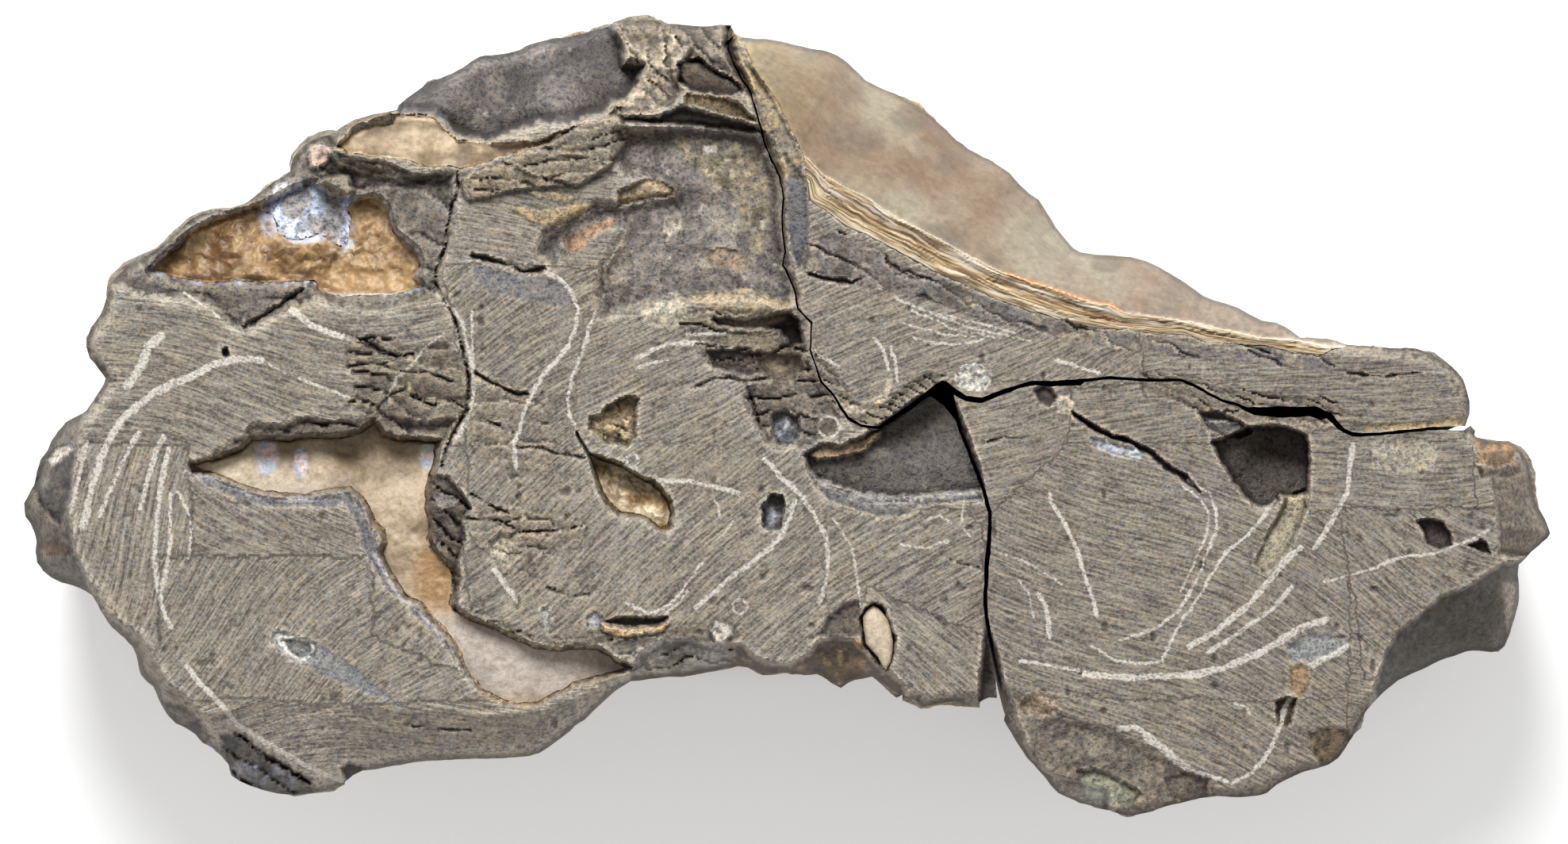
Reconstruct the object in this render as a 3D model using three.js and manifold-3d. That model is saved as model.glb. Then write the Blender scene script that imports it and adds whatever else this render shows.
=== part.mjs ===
import * as THREE from 'three';
import { mergeVertices } from 'three/addons/utils/BufferGeometryUtils.js';
import Module from 'manifold-3d';

// A broken piece of shelly rock with an ammonite in it, lying on its back, ground face up.
// Millimetres, +X along the length, +Z out of the ground face.
const STONE_LENGTH = 100;
const FACE_HEIGHT = 27;
const FACE_FALL_AT_ENDS = 1.3;
const FLANK_FALL = 13;
const BASE_INSET = 0.4;
const END_INSET = 0.25;
const SHELL_THICKNESS = 1.1;
const LINING_THICKNESS = 0.8;
const CRUST_THICKNESS = 1.6;
const LAYER_GAP = 0.3;
const VIEW_DISTANCE = 858;
const POINT_SPACING = 2.2;
const EDGE_SPACING = 1.7;
const DOMAIN = [60, 36];
const SKY = 45;
const BELOW = -6;
const FACE_UNEVENNESS = 0.12;
const EDGE_DROP = 12;
const EDGE_ROUNDING = 2.2;
const EDGE_ROUNDING_WIDTH = 2.6;
const SLOPE_EDGE = 0.4;
const LOWEST_FACE = 9;
const WIDEST_HEIGHT = 15.5;
const WIDEST_DROP_AT_FLANK = 4.5;
const WIDEST_DROP_AT_MOULD = 1;
const SHARPEST_MITRE = 0.35;
const ROCK = { colour: 0x7d7468, roughness: 0.85 };
const CREAM_SHELL = { colour: 0xc4ae8e, roughness: 0.6 };

// Outlines are hand-read points across the face, in photo pixels: x to the right, y down.
const PHOTO_LENGTH = 1924;
const PHOTO_CENTRE = [992, 526.5];
const VIEW_CENTRE = [988.5, 532];
const scale = STONE_LENGTH / PHOTO_LENGTH;
const toPlan = ([px, py]) => [(px - PHOTO_CENTRE[0]) * scale, (PHOTO_CENTRE[1] - py) * scale];

const SILHOUETTE = [
  [133, 382], [140, 357], [180, 325], [215, 303], [238, 279], [270, 267], [305, 259], [346, 229], [366, 216],
  [371, 197], [391, 178], [426, 171], [463, 150], [501, 139], [512, 124], [555, 98], [605, 72], [655, 62],
  [694, 49], [774, 31], [810, 25], [850, 31], [918, 31], [935, 47], [984, 52], [1038, 65], [1068, 79],
  [1091, 101], [1145, 129], [1178, 150], [1206, 177], [1258, 208], [1298, 244], [1320, 268], [1353, 313],
  [1382, 321], [1445, 329], [1500, 361], [1561, 388], [1609, 407], [1640, 426], [1697, 434], [1772, 438],
  [1812, 453], [1844, 478], [1853, 506], [1847, 537], [1862, 551], [1902, 557], [1926, 582], [1933, 624],
  [1954, 672], [1915, 712], [1914, 762], [1895, 813], [1849, 822], [1799, 841], [1749, 869], [1721, 900],
  [1687, 955], [1640, 974], [1585, 1003], [1535, 1004], [1476, 1016], [1429, 1028], [1381, 1018], [1334, 1000],
  [1298, 959], [1265, 908], [1247, 879], [1224, 886], [1172, 889], [1141, 877], [1099, 853], [1060, 867],
  [1030, 849], [979, 848], [933, 840], [884, 849], [834, 854], [795, 859], [761, 885], [708, 930], [667, 953],
  [590, 957], [530, 961], [457, 972], [406, 998], [349, 1000], [303, 984], [279, 952], [235, 919], [203, 888],
  [184, 857], [167, 815], [131, 777], [107, 745], [64, 728], [45, 695], [43, 671], [30, 643], [42, 611],
  [60, 567], [83, 532], [108, 518], [131, 483], [124, 464], [109, 437], [115, 413],
];

// The middle line of the stone: walls below the widest level draw in towards it.
const SPINE = [[130, 630], [400, 588], [600, 520], [850, 450], [1100, 480], [1240, 545], [1360, 650],
  [1550, 690], [1870, 665]];

const RIGHT_CRACK_UPPER_SIDE = [
  [1166, 495], [1180, 484], [1194, 482], [1218, 497], [1238, 500], [1283, 485], [1333, 480], [1400, 474],
  [1490, 478], [1523, 495], [1561, 508], [1611, 510], [1658, 510], [1690, 533], [1715, 546], [1772, 542],
  [1825, 537], [1870, 536],
];
const RIGHT_CRACK_LOWER_SIDE = [
  [1870, 545], [1825, 544], [1772, 549], [1715, 553], [1688, 542], [1665, 530], [1619, 526], [1568, 518],
  [1523, 504], [1490, 486], [1400, 481], [1333, 488], [1283, 493], [1238, 509], [1206, 501],
];
const NOSE = [
  [1145, 511], [1123, 526], [1108, 537], [1086, 535], [1061, 512], [1037, 481], [1024, 452], [1022, 415],
  [1006, 388], [998, 352], [988, 334], [988, 298], [988, 251], [984, 222], [964, 176], [948, 118], [927, 83],
  [918, 60], [925, 40], [925, 0],
];
const UPRIGHT_CRACK_RIGHT_SIDE = [
  [1212, 543], [1236, 598], [1250, 648], [1248, 697], [1245, 743], [1250, 795], [1262, 857], [1268, 894],
  [1268, 960],
];
const UPRIGHT_CRACK_LEFT_SIDE = [
  [1257, 960], [1257, 900], [1247, 829], [1237, 768], [1236, 715], [1240, 666], [1234, 620], [1217, 571],
  [1203, 527], [1200, 506], [1185, 493],
];
const NOSE_OTHER_SIDE = [
  [1148, 519], [1126, 534], [1110, 546], [1084, 544], [1055, 516], [1030, 484], [1017, 455], [1015, 419],
  [999, 392], [991, 355], [981, 337], [981, 301], [981, 254], [977, 225], [957, 179], [941, 121], [920, 87],
  [911, 62], [918, 40], [918, 0],
];

// The open cracks part the rock into three blocks.
const BLOCKS = {
  main_block: [[-60, -60], [918, -60], ...NOSE_OTHER_SIDE.slice().reverse(),
    ...UPRIGHT_CRACK_LEFT_SIDE.slice().reverse(), [1257, 1200], [-60, 1200]],
  upper_right_block: [...NOSE.slice().reverse(), ...RIGHT_CRACK_UPPER_SIDE,
    [2100, 536], [2100, -60], [925, -60]],
  lower_right_block: [...RIGHT_CRACK_LOWER_SIDE, ...UPRIGHT_CRACK_RIGHT_SIDE, [1268, 1200], [2100, 1200],
    [2100, 545]],
};

const FLANK_CREST = [[925, 20], [945, 80], [977, 133], [1011, 194], [1070, 239], [1131, 276],
  [1196, 309], [1257, 341], [1329, 366], [1400, 386], [1462, 400], [1551, 418], [1631, 429],
  [1732, 441]];

// Slopes that run from a crest line on the face down to the outer edge, with their fall in mm.
const SLOPES = {
  flank: {
    crest: FLANK_CREST,
    outside: [[1760, 380], [1300, 60], [925, -30]], start: 0.7, fall: FLANK_FALL,
  },
  right_facet: {
    crest: [[1930, 700], [1896, 710], [1848, 739], [1802, 759], [1762, 796], [1747, 820], [1730, 866],
      [1737, 900]],
    outside: [[1990, 960], [1990, 700]], start: 0.3, fall: 8,
  },
  right_end: {
    crest: [[1862, 520], [1866, 560], [1882, 600], [1890, 650], [1886, 700]],
    outside: [[1990, 710], [1990, 520]], start: 0.2, fall: 5,
  },
  right_lobe_side: {
    crest: [[1240, 780], [1258, 819], [1275, 878], [1302, 949], [1330, 976], [1400, 990]],
    outside: [[1400, 1080], [1230, 960]], start: 0.3, fall: 7,
  },
  middle_underside: {
    crest: [[680, 820], [760, 800], [840, 800], [905, 815], [952, 827], [1000, 835], [1031, 811],
      [1075, 806], [1110, 838], [1140, 862]],
    outside: [[1140, 920], [640, 920]], start: 1.6, fall: 7,
  },
  lower_bevel: {
    crest: [[262, 900], [330, 884], [430, 885], [620, 900], [690, 890], [792, 846]],
    outside: [[820, 900], [700, 1020], [240, 1060], [220, 920]], start: 0.1, fall: 6,
  },
  lower_left_side: {
    crest: [[128, 770], [180, 800], [212, 860], [262, 900]],
    outside: [[240, 980], [100, 820]], start: 0.1, fall: 5,
  },
  left_end: {
    crest: [[116, 512], [100, 545], [92, 600], [90, 660], [98, 700], [128, 770]],
    outside: [[60, 830], [-20, 700], [20, 500]], start: 0.3, fall: 6,
  },
};

// Hollows and raised chips: outline, width of the side wall in mm, and depths in mm at named spots.
const HOLLOWS = {
  upper_left_mould: {
    outline: [[480, 90], [600, 20], [773, -10], [776, 38], [788, 60], [788, 80], [812, 84], [806, 104],
      [788, 122], [758, 138], [720, 151], [680, 154], [640, 167], [600, 176], [573, 168], [547, 143],
      [505, 141]],
    wall: 0.5, spots: [[560, 135, 4.5], [700, 140, 4], [640, 80, 8], [740, 50, 9.5], [540, 110, 7.5]],
  },
  cream_ridge: {
    outline: [[773, -10], [778, 38], [790, 60], [790, 80], [814, 84], [806, 108], [778, 132],
      [772, 143], [813, 145], [850, 133], [862, 110], [850, 85], [866, 58], [850, 44], [830, -10]],
    wall: 0.5, spots: [[815, 138, 1], [830, 90, 4], [810, 35, 8]],
  },
  top_shoulder: {
    outline: [[830, -10], [852, 44], [868, 62], [862, 76], [900, 86], [923, 96], [946, 118], [925, 70],
      [925, -10]],
    wall: 0.5, spots: [[900, 75, 3], [885, 40, 6.5]],
  },
  dark_notch: {
    outline: [[853, 82], [867, 76], [900, 86], [923, 96], [938, 112], [922, 120], [870, 115],
      [857, 104]],
    wall: 0.35, spots: [[895, 100, 7]],
  },
  shell_flake_bed: {
    outline: [[424, 186], [447, 160], [497, 143], [545, 145], [560, 162], [577, 178], [613, 183],
      [680, 178], [740, 153], [700, 178], [640, 195], [587, 212], [547, 211], [513, 202], [433, 196]],
    wall: 0.3, spots: [[440, 188, 1.6], [520, 150, 2.2], [560, 205, 0.4], [640, 185, 0.8],
      [720, 165, 0.8]],
  },
  central_recess: {
    outline: [[780, 168], [860, 160], [950, 167], [968, 182], [984, 222], [986, 300], [992, 340],
      [999, 366], [985, 378], [950, 366], [900, 370], [850, 374], [800, 386], [764, 395], [755, 368],
      [772, 330], [788, 300], [770, 278], [712, 300], [698, 318], [684, 300], [700, 282], [752, 258],
      [790, 235], [849, 240], [800, 214]],
    wall: 0.9, spots: [[760, 300, 1], [800, 360, 1.4], [900, 320, 2.6], [940, 230, 3.4],
      [850, 180, 3.6], [800, 240, 1.6]],
  },
  chip_a: {
    outline: [[710, 160], [767, 148], [785, 145], [793, 180], [776, 203], [753, 203], [690, 186]],
    wall: 0.3, spots: [[740, 175, -0.5]],
  },
  chip_b: {
    outline: [[633, 204], [667, 189], [745, 192], [764, 213], [730, 232], [670, 221]],
    wall: 0.3, spots: [[700, 208, -0.7]],
  },
  chip_c: {
    outline: [[582, 232], [590, 219], [650, 209], [712, 230], [647, 238], [603, 250]],
    wall: 0.3, spots: [[640, 226, -0.6]],
  },
  crystal_pocket: {
    outline: [[160, 322], [215, 290], [270, 250], [330, 225], [367, 228], [410, 232], [447, 250],
      [488, 257], [497, 287], [527, 317], [533, 345], [530, 362], [483, 375], [433, 378], [393, 355],
      [300, 358], [233, 355], [192, 343]],
    wall: 0.6, spots: [[215, 330, 3.2], [300, 345, 2.6], [300, 275, 5], [400, 250, 5], [430, 350, 2.6],
      [480, 290, 2.4], [510, 345, 2.4]],
  },
  pocket_wall: {
    outline: [[433, 215], [560, 215], [566, 260], [556, 320], [546, 362], [530, 362], [533, 330],
      [500, 296], [488, 257], [440, 247]],
    wall: 0.6, spots: [[500, 235, 2], [555, 300, 0.6], [450, 225, 2.6]],
  },
  pearly_hollow: {
    outline: [[240, 583], [269, 577], [302, 560], [318, 549], [390, 546], [454, 541], [472, 529],
      [502, 550], [557, 555], [545, 598], [539, 630], [545, 659], [541, 680], [575, 716], [573, 761],
      [593, 779], [650, 803], [701, 818], [755, 818], [800, 842], [749, 858], [701, 877], [659, 891],
      [620, 880], [590, 852], [566, 806], [530, 764], [502, 740], [480, 700], [479, 670], [454, 628],
      [439, 618], [377, 628], [310, 614], [250, 598]],
    wall: 0.5, spots: [[300, 600, 1.6], [340, 560, 4], [440, 560, 4.6], [430, 605, 1.8],
      [530, 580, 3.6], [510, 650, 2.6], [550, 740, 3], [600, 830, 2], [650, 870, 2.6], [700, 840, 4.2],
      [780, 842, 5.5]],
  },
  central_pit: {
    outline: [[728, 545], [742, 571], [783, 586], [822, 606], [846, 631], [848, 650], [840, 667],
      [816, 656], [780, 650], [758, 622], [746, 586]],
    wall: 0.35, spots: [[745, 570, 2.6], [800, 610, 2.8], [830, 655, 1.4], [765, 620, 1.6]],
  },
  small_pit: {
    outline: [[745, 526], [779, 515], [791, 500], [804, 504], [802, 535], [798, 555], [786, 560],
      [762, 554]],
    wall: 0.3, spots: [[775, 530, 1.5]],
  },
  round_pit: {
    outline: [[960, 640], [974, 623], [991, 626], [984, 664], [965, 666]],
    wall: 0.3, spots: [[976, 645, 2]],
  },
  ledge_gap: {
    outline: [[893, 400], [995, 392], [1012, 405], [1012, 440], [985, 440], [984, 418], [925, 418]],
    wall: 0.3, spots: [[1000, 422, 5], [940, 402, 1.4]],
  },
  under_ledge: {
    outline: [[893, 441], [975, 443], [1010, 448], [1012, 478], [960, 474], [900, 466]],
    wall: 0.4, spots: [[930, 455, 1.6], [985, 460, 1]],
  },
  smooth_recess: {
    outline: [[1014, 574], [1037, 560], [1061, 563], [1083, 553], [1108, 538], [1130, 522], [1160, 500],
      [1190, 488], [1210, 528], [1224, 565], [1240, 612], [1206, 620], [1132, 625], [1071, 612],
      [1031, 600]],
    wall: 0.5, spots: [[1150, 530, 3.4], [1050, 585, 1.8], [1190, 600, 2.2], [1110, 600, 2]],
  },
  right_cavity: {
    outline: [[1530, 558], [1575, 537], [1615, 537], [1647, 549], [1650, 600], [1647, 622], [1613, 622],
      [1603, 636], [1581, 634], [1547, 597]],
    wall: 0.45, spots: [[1620, 560, 4.4], [1600, 610, 3.4], [1550, 570, 2.4]],
  },
  olive_shell_bed: {
    outline: [[1622, 626], [1647, 620], [1646, 641], [1626, 690], [1606, 713], [1590, 718], [1586, 706],
      [1600, 672]],
    wall: 0.35, spots: [[1630, 645, 1.8], [1600, 700, 0.8]],
  },
  second_crack: {
    outline: [[1350, 517], [1377, 529], [1427, 553], [1474, 585], [1514, 622], [1500, 618], [1454, 583],
      [1400, 555], [1355, 527]],
    wall: 0.2, spots: [[1377, 534, 2.2], [1480, 595, 1.4]],
  },
  square_hole: {
    outline: [[1299, 489], [1330, 490], [1328, 511], [1304, 510]],
    wall: 0.25, spots: [[1314, 500, 2.4]],
  },
  hexagon_pit: {
    outline: [[1788, 659], [1808, 654], [1827, 670], [1830, 687], [1802, 684]],
    wall: 0.3, spots: [[1810, 670, 1.2]],
  },
  grey_green_patch: {
    outline: [[1358, 972], [1396, 975], [1440, 1002], [1429, 1014], [1367, 1005]],
    wall: 0.4, spots: [[1400, 992, 1.2]],
  },
  brown_pit: {
    outline: [[1609, 885], [1622, 879], [1634, 880], [1628, 912], [1612, 918]],
    wall: 0.3, spots: [[1620, 898, 1.6]],
  },
  v_notch: {
    outline: [[240, 368], [262, 368], [306, 404], [378, 354], [394, 356], [310, 416], [300, 414]],
    wall: 0.3, spots: [[306, 408, 0.9]],
  },
  left_margin_steps: {
    outline: [[541, 600], [563, 601], [592, 640], [581, 655], [584, 680], [578, 707], [580, 735],
      [576, 770], [576, 716], [541, 680]],
    wall: 0.4, spots: [[565, 625, 1], [565, 690, 1.4], [578, 740, 1.2]],
  },
};

// Shell and crystal layers that lie on the rock as bodies of their own.
const LAYERS = {
  flank_shell: {
    block: 'upper_right_block', thickness: SHELL_THICKNESS, colour: 0xa88f68, roughness: 0.7,
    outline: [[936, 30], [950, 80], [985, 133], [1020, 196], [1074, 236], [1133, 273], [1198, 306],
      [1259, 338], [1331, 363], [1402, 383], [1464, 397], [1552, 415], [1632, 426], [1680, 431],
      [1760, 380], [1300, 60], [936, -30]],
  },
  shell_flake: {
    block: 'main_block', thickness: SHELL_THICKNESS, colour: 0xb69c74, roughness: 0.65,
    outline: [[424, 186], [447, 160], [497, 143], [545, 145], [560, 162], [577, 178], [613, 183],
      [660, 180], [690, 178], [640, 195], [587, 212], [547, 211], [513, 202], [433, 196]],
  },
  calcite_crust: {
    block: 'main_block', thickness: CRUST_THICKNESS, colour: 0xb07a3c, roughness: 0.5,
    lumps: 1.1, spacing: 1.3,
    outline: [[196, 336], [240, 300], [300, 284], [350, 306], [400, 304], [440, 312], [445, 256],
      [488, 262], [492, 290], [522, 320], [524, 345], [515, 362], [483, 368], [433, 372], [398, 360],
      [393, 350], [300, 352], [238, 350]],
  },
  nacre_lining: {
    block: 'main_block', thickness: LINING_THICKNESS, colour: 0xcfc0a2, roughness: 0.35,
    outline: [[250, 590], [302, 568], [320, 556], [390, 553], [456, 548], [502, 556], [548, 560],
      [538, 598], [532, 630], [537, 684], [567, 720], [566, 765], [590, 786], [650, 811], [701, 826],
      [750, 826], [785, 842], [749, 851], [701, 869], [659, 883], [624, 873], [597, 848], [574, 802],
      [536, 758], [509, 734], [488, 698], [486, 668], [461, 624], [442, 610], [377, 620], [312, 606]],
  },
  pit_crust: {
    block: 'main_block', thickness: LINING_THICKNESS, colour: 0xb79a6a, roughness: 0.4,
    lumps: 0.5, spacing: 0.9,
    outline: [[736, 562], [745, 577], [783, 593], [818, 613], [838, 634], [840, 650], [834, 660],
      [816, 650], [784, 643], [765, 618], [752, 590]],
  },
};

// The small cream shell that stands at the bottom edge.
const BOTTOM_FLAKE = [[1088, 778], [1101, 763], [1114, 774], [1123, 792], [1126, 808], [1123, 835],
  [1117, 844], [1105, 826], [1092, 812]];
const BOTTOM_FLAKE_HEIGHTS = [FACE_HEIGHT - 2.4, FACE_HEIGHT - 0.1];

const wasm = await Module();
wasm.setup();

// Repeatable small unevenness for a point, from -1 to 1.
function unevenness(x, y, salt) {
  const value = Math.sin(x * 12.9898 + y * 78.233 + salt * 37.719) * 43758.5453;
  return 2 * (value - Math.floor(value)) - 1;
}

function distanceToSegment([x, y], [ax, ay], [bx, by]) {
  const dx = bx - ax;
  const dy = by - ay;
  const t = Math.min(1, Math.max(0, ((x - ax) * dx + (y - ay) * dy) / (dx * dx + dy * dy || 1)));
  return Math.hypot(x - ax - t * dx, y - ay - t * dy);
}

function distanceToLine(point, line, closed) {
  let nearest = Infinity;
  const last = closed ? line.length : line.length - 1;
  for (let i = 0; i < last; i += 1) {
    nearest = Math.min(nearest, distanceToSegment(point, line[i], line[(i + 1) % line.length]));
  }
  return nearest;
}

function isInside([x, y], outline) {
  let inside = false;
  for (let i = 0, j = outline.length - 1; i < outline.length; j = i, i += 1) {
    const [ax, ay] = outline[i];
    const [bx, by] = outline[j];
    if ((ay > y) !== (by > y) && x < ((bx - ax) * (y - ay)) / (by - ay) + ax) inside = !inside;
  }
  return inside;
}

const depthInside = (point, outline) => {
  const distance = distanceToLine(point, outline, true);
  return isInside(point, outline) ? distance : -distance;
};

const smooth = (t) => {
  const u = Math.min(1, Math.max(0, t));
  return u * u * (3 - 2 * u);
};

// The outer edge lies below the face, so it is drawn a little larger than its picture.
const SIGHT = toPlan(VIEW_CENTRE);
const rim = SILHOUETTE.map(toPlan).map(([x, y]) => {
  const growth = (VIEW_DISTANCE + EDGE_DROP) / VIEW_DISTANCE;
  return [SIGHT[0] + (x - SIGHT[0]) * growth, SIGHT[1] + (y - SIGHT[1]) * growth];
});
const spine = SPINE.map(toPlan);
const slopes = Object.values(SLOPES).map((slope) => ({
  ...slope,
  crest: slope.crest.map(toPlan),
  outline: [...slope.crest, ...slope.outside].map(toPlan),
}));
const hollows = Object.values(HOLLOWS).map((hollow) => ({
  ...hollow,
  outline: hollow.outline.map(toPlan),
  spots: hollow.spots.map(([px, py, depth]) => [...toPlan([px, py]), depth]),
}));
const layers = Object.entries(LAYERS).map(([name, layer]) => ({
  ...layer, name, outline: layer.outline.map(toPlan),
}));

function spotDepth([x, y], spots) {
  let sum = 0;
  let weights = 0;
  for (const [sx, sy, depth] of spots) {
    const weight = 1 / ((x - sx) ** 2 + (y - sy) ** 2 + 0.5);
    sum += weight * depth;
    weights += weight;
  }
  return sum / weights;
}

// Height of the face side at a point of the plan.
function faceHeight(point) {
  const [x, y] = point;
  const toRim = depthInside(point, rim);
  let height = FACE_HEIGHT - FACE_FALL_AT_ENDS * (x / 50) ** 2 + FACE_UNEVENNESS * unevenness(x, y, 1);
  const rounding = Math.max(0, 1 - Math.max(0, toRim) / EDGE_ROUNDING_WIDTH);
  height -= EDGE_ROUNDING * rounding * rounding;
  for (const slope of slopes) {
    const inside = depthInside(point, slope.outline);
    if (inside <= 0) continue;
    const down = distanceToLine(point, slope.crest, false);
    const share = toRim <= 0 ? 1 : down / (down + toRim);
    const reach = smooth((DOMAIN[0] * 0.62 - x) / 8) * 0.6 + 0.4;
    const fall = slope.fall * (slope.fall === FLANK_FALL ? reach : 1);
    height -= smooth(inside / SLOPE_EDGE) * (slope.start + fall * share ** 1.15);
  }
  for (const hollow of hollows) {
    const inside = depthInside(point, hollow.outline);
    if (inside <= -hollow.wall / 2) continue;
    height -= smooth((inside + hollow.wall / 2) / hollow.wall) * spotDepth(point, hollow.spots);
  }
  for (const layer of layers) {
    if (layer.lumps && depthInside(point, layer.outline) > 0.2) height += layer.lumps * unevenness(x, y, 5);
  }
  return Math.max(height, LOWEST_FACE);
}

// Plan points: along every wall of every hollow, then an uneven net over the rest.
function planPoints() {
  const points = [];
  const add = (x, y, apart) => {
    if (Math.abs(x) > DOMAIN[0] - 1 || Math.abs(y) > DOMAIN[1] - 1) return;
    if (points.some(([px, py]) => Math.hypot(px - x, py - y) < apart)) return;
    points.push([x, y]);
  };
  const follow = (outline, wall, closed) => {
    const count = closed ? outline.length : outline.length - 1;
    for (let i = 0; i < count; i += 1) {
      const [ax, ay] = outline[i];
      const [bx, by] = outline[(i + 1) % outline.length];
      const length = Math.hypot(bx - ax, by - ay);
      const steps = Math.max(1, Math.round(length / EDGE_SPACING));
      for (let k = 0; k < steps; k += 1) {
        const t = k / steps;
        const x = ax + (bx - ax) * t;
        const y = ay + (by - ay) * t;
        const nx = (-(by - ay) / length) * wall * 0.55;
        const ny = ((bx - ax) / length) * wall * 0.55;
        if (depthInside([x, y], rim) < -1) continue;
        add(x + nx, y + ny, 0.24);
        add(x - nx, y - ny, 0.24);
      }
    }
  };
  for (const hollow of hollows) follow(hollow.outline, hollow.wall, true);
  for (const slope of slopes) follow(slope.crest, 0.3, false);
  const net = (spacing, apart, keep) => {
    const rows = Math.ceil(DOMAIN[1] / (spacing * 0.866));
    const columns = Math.ceil(DOMAIN[0] / spacing);
    for (let row = -rows; row <= rows; row += 1) {
      for (let column = -columns; column <= columns; column += 1) {
        const x = (column + (row & 1) / 2) * spacing + 0.22 * spacing * unevenness(column, row, 2);
        const y = row * spacing * 0.866 + 0.22 * spacing * unevenness(column, row, 3);
        if (keep([x, y])) add(x, y, apart);
      }
    }
  };
  for (const layer of layers) {
    const within = (point) => depthInside(point, layer.outline) > 0;
    if (layer.lumps) net(layer.spacing, layer.spacing * 0.6, within);
  }
  net(POINT_SPACING, POINT_SPACING * 0.62, (point) => depthInside(point, rim) > -1.5);
  return points;
}

// Delaunay triangles of the plan points, by adding one point at a time.
function triangulate(points) {
  const [wide, high] = DOMAIN;
  const all = [[-wide, -high], [wide, -high], [wide, high], [-wide, high], ...points];
  const circle = (a, b, c) => {
    const [ax, ay] = all[a];
    const [bx, by] = [all[b][0] - ax, all[b][1] - ay];
    const [cx, cy] = [all[c][0] - ax, all[c][1] - ay];
    const twice = 2 * (bx * cy - by * cx);
    const ux = (cy * (bx * bx + by * by) - by * (cx * cx + cy * cy)) / twice;
    const uy = (bx * (cx * cx + cy * cy) - cx * (bx * bx + by * by)) / twice;
    return { corners: [a, b, c], x: ax + ux, y: ay + uy, reach: ux * ux + uy * uy };
  };
  let triangles = [circle(0, 1, 2), circle(0, 2, 3)];
  for (let index = 4; index < all.length; index += 1) {
    const [x, y] = all[index];
    const edges = new Map();
    const kept = [];
    for (const triangle of triangles) {
      if ((x - triangle.x) ** 2 + (y - triangle.y) ** 2 >= triangle.reach) {
        kept.push(triangle);
        continue;
      }
      const [a, b, c] = triangle.corners;
      for (const [from, to] of [[a, b], [b, c], [c, a]]) {
        if (!edges.delete(`${to},${from}`)) edges.set(`${from},${to}`, [from, to]);
      }
    }
    triangles = kept;
    for (const [from, to] of edges.values()) triangles.push(circle(from, to, index));
  }
  return { all, triangles: triangles.map((triangle) => triangle.corners) };
}

function solidFrom(positions, triangles) {
  const mesh = new wasm.Mesh({
    numProp: 3,
    vertProperties: new Float32Array(positions.flat()),
    triVerts: new Uint32Array(triangles.flat()),
  });
  return new wasm.Manifold(mesh);
}

function solidFromGeometry(geometry) {
  const bare = geometry.clone();
  bare.deleteAttribute('normal');
  bare.deleteAttribute('uv');
  const merged = mergeVertices(bare, 1e-4);
  return new wasm.Manifold(new wasm.Mesh({
    numProp: 3,
    vertProperties: new Float32Array(merged.attributes.position.array),
    triVerts: new Uint32Array(merged.index.array),
  }));
}

function prism(outline, low, high) {
  const shape = new THREE.Shape(outline.map(([x, y]) => new THREE.Vector2(x, y)));
  const geometry = new THREE.ExtrudeGeometry(shape, { depth: high - low, bevelEnabled: false });
  geometry.translate(0, 0, low);
  return solidFromGeometry(geometry);
}

const plan = triangulate(planPoints());
const heights = plan.all.map(faceHeight);

// Everything under the face side, lowered by some depth.
function groundBelow(lowered) {
  const count = plan.all.length;
  const top = plan.all.map(([x, y], i) => [x, y, heights[i] - lowered]);
  const bottom = plan.all.map(([x, y]) => [x, y, BELOW]);
  const triangles = plan.triangles.map(([a, b, c]) => [a, b, c]);
  const seen = new Set(triangles.flatMap(([a, b, c]) => [`${a},${b}`, `${b},${c}`, `${c},${a}`]));
  const faces = [...triangles, ...triangles.map(([a, b, c]) => [a + count, c + count, b + count])];
  for (const edge of seen) {
    const [a, b] = edge.split(',').map(Number);
    if (!seen.has(`${b},${a}`)) faces.push([a, a + count, b + count], [a, b + count, b]);
  }
  return solidFrom([...top, ...bottom], faces);
}

function spineAt(x) {
  const next = spine.findIndex(([sx]) => sx > x);
  if (next <= 0) return next === 0 ? spine[0][1] : spine[spine.length - 1][1];
  const [ax, ay] = spine[next - 1];
  const [bx, by] = spine[next];
  return ay + ((by - ay) * (x - ax)) / (bx - ax);
}

// Height of the widest level round the edge: lower under the flank and the right facet.
function widestAt([x, y]) {
  const flank = smooth((x + 6) / 6) * smooth((34 - x) / 8) * smooth((y + 2) / 8);
  const mould = smooth((x + 30) / 8) * smooth((-2 - x) / 6) * smooth((y - 12) / 4);
  return WIDEST_HEIGHT - WIDEST_DROP_AT_FLANK * flank - WIDEST_DROP_AT_MOULD * mould;
}

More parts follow.
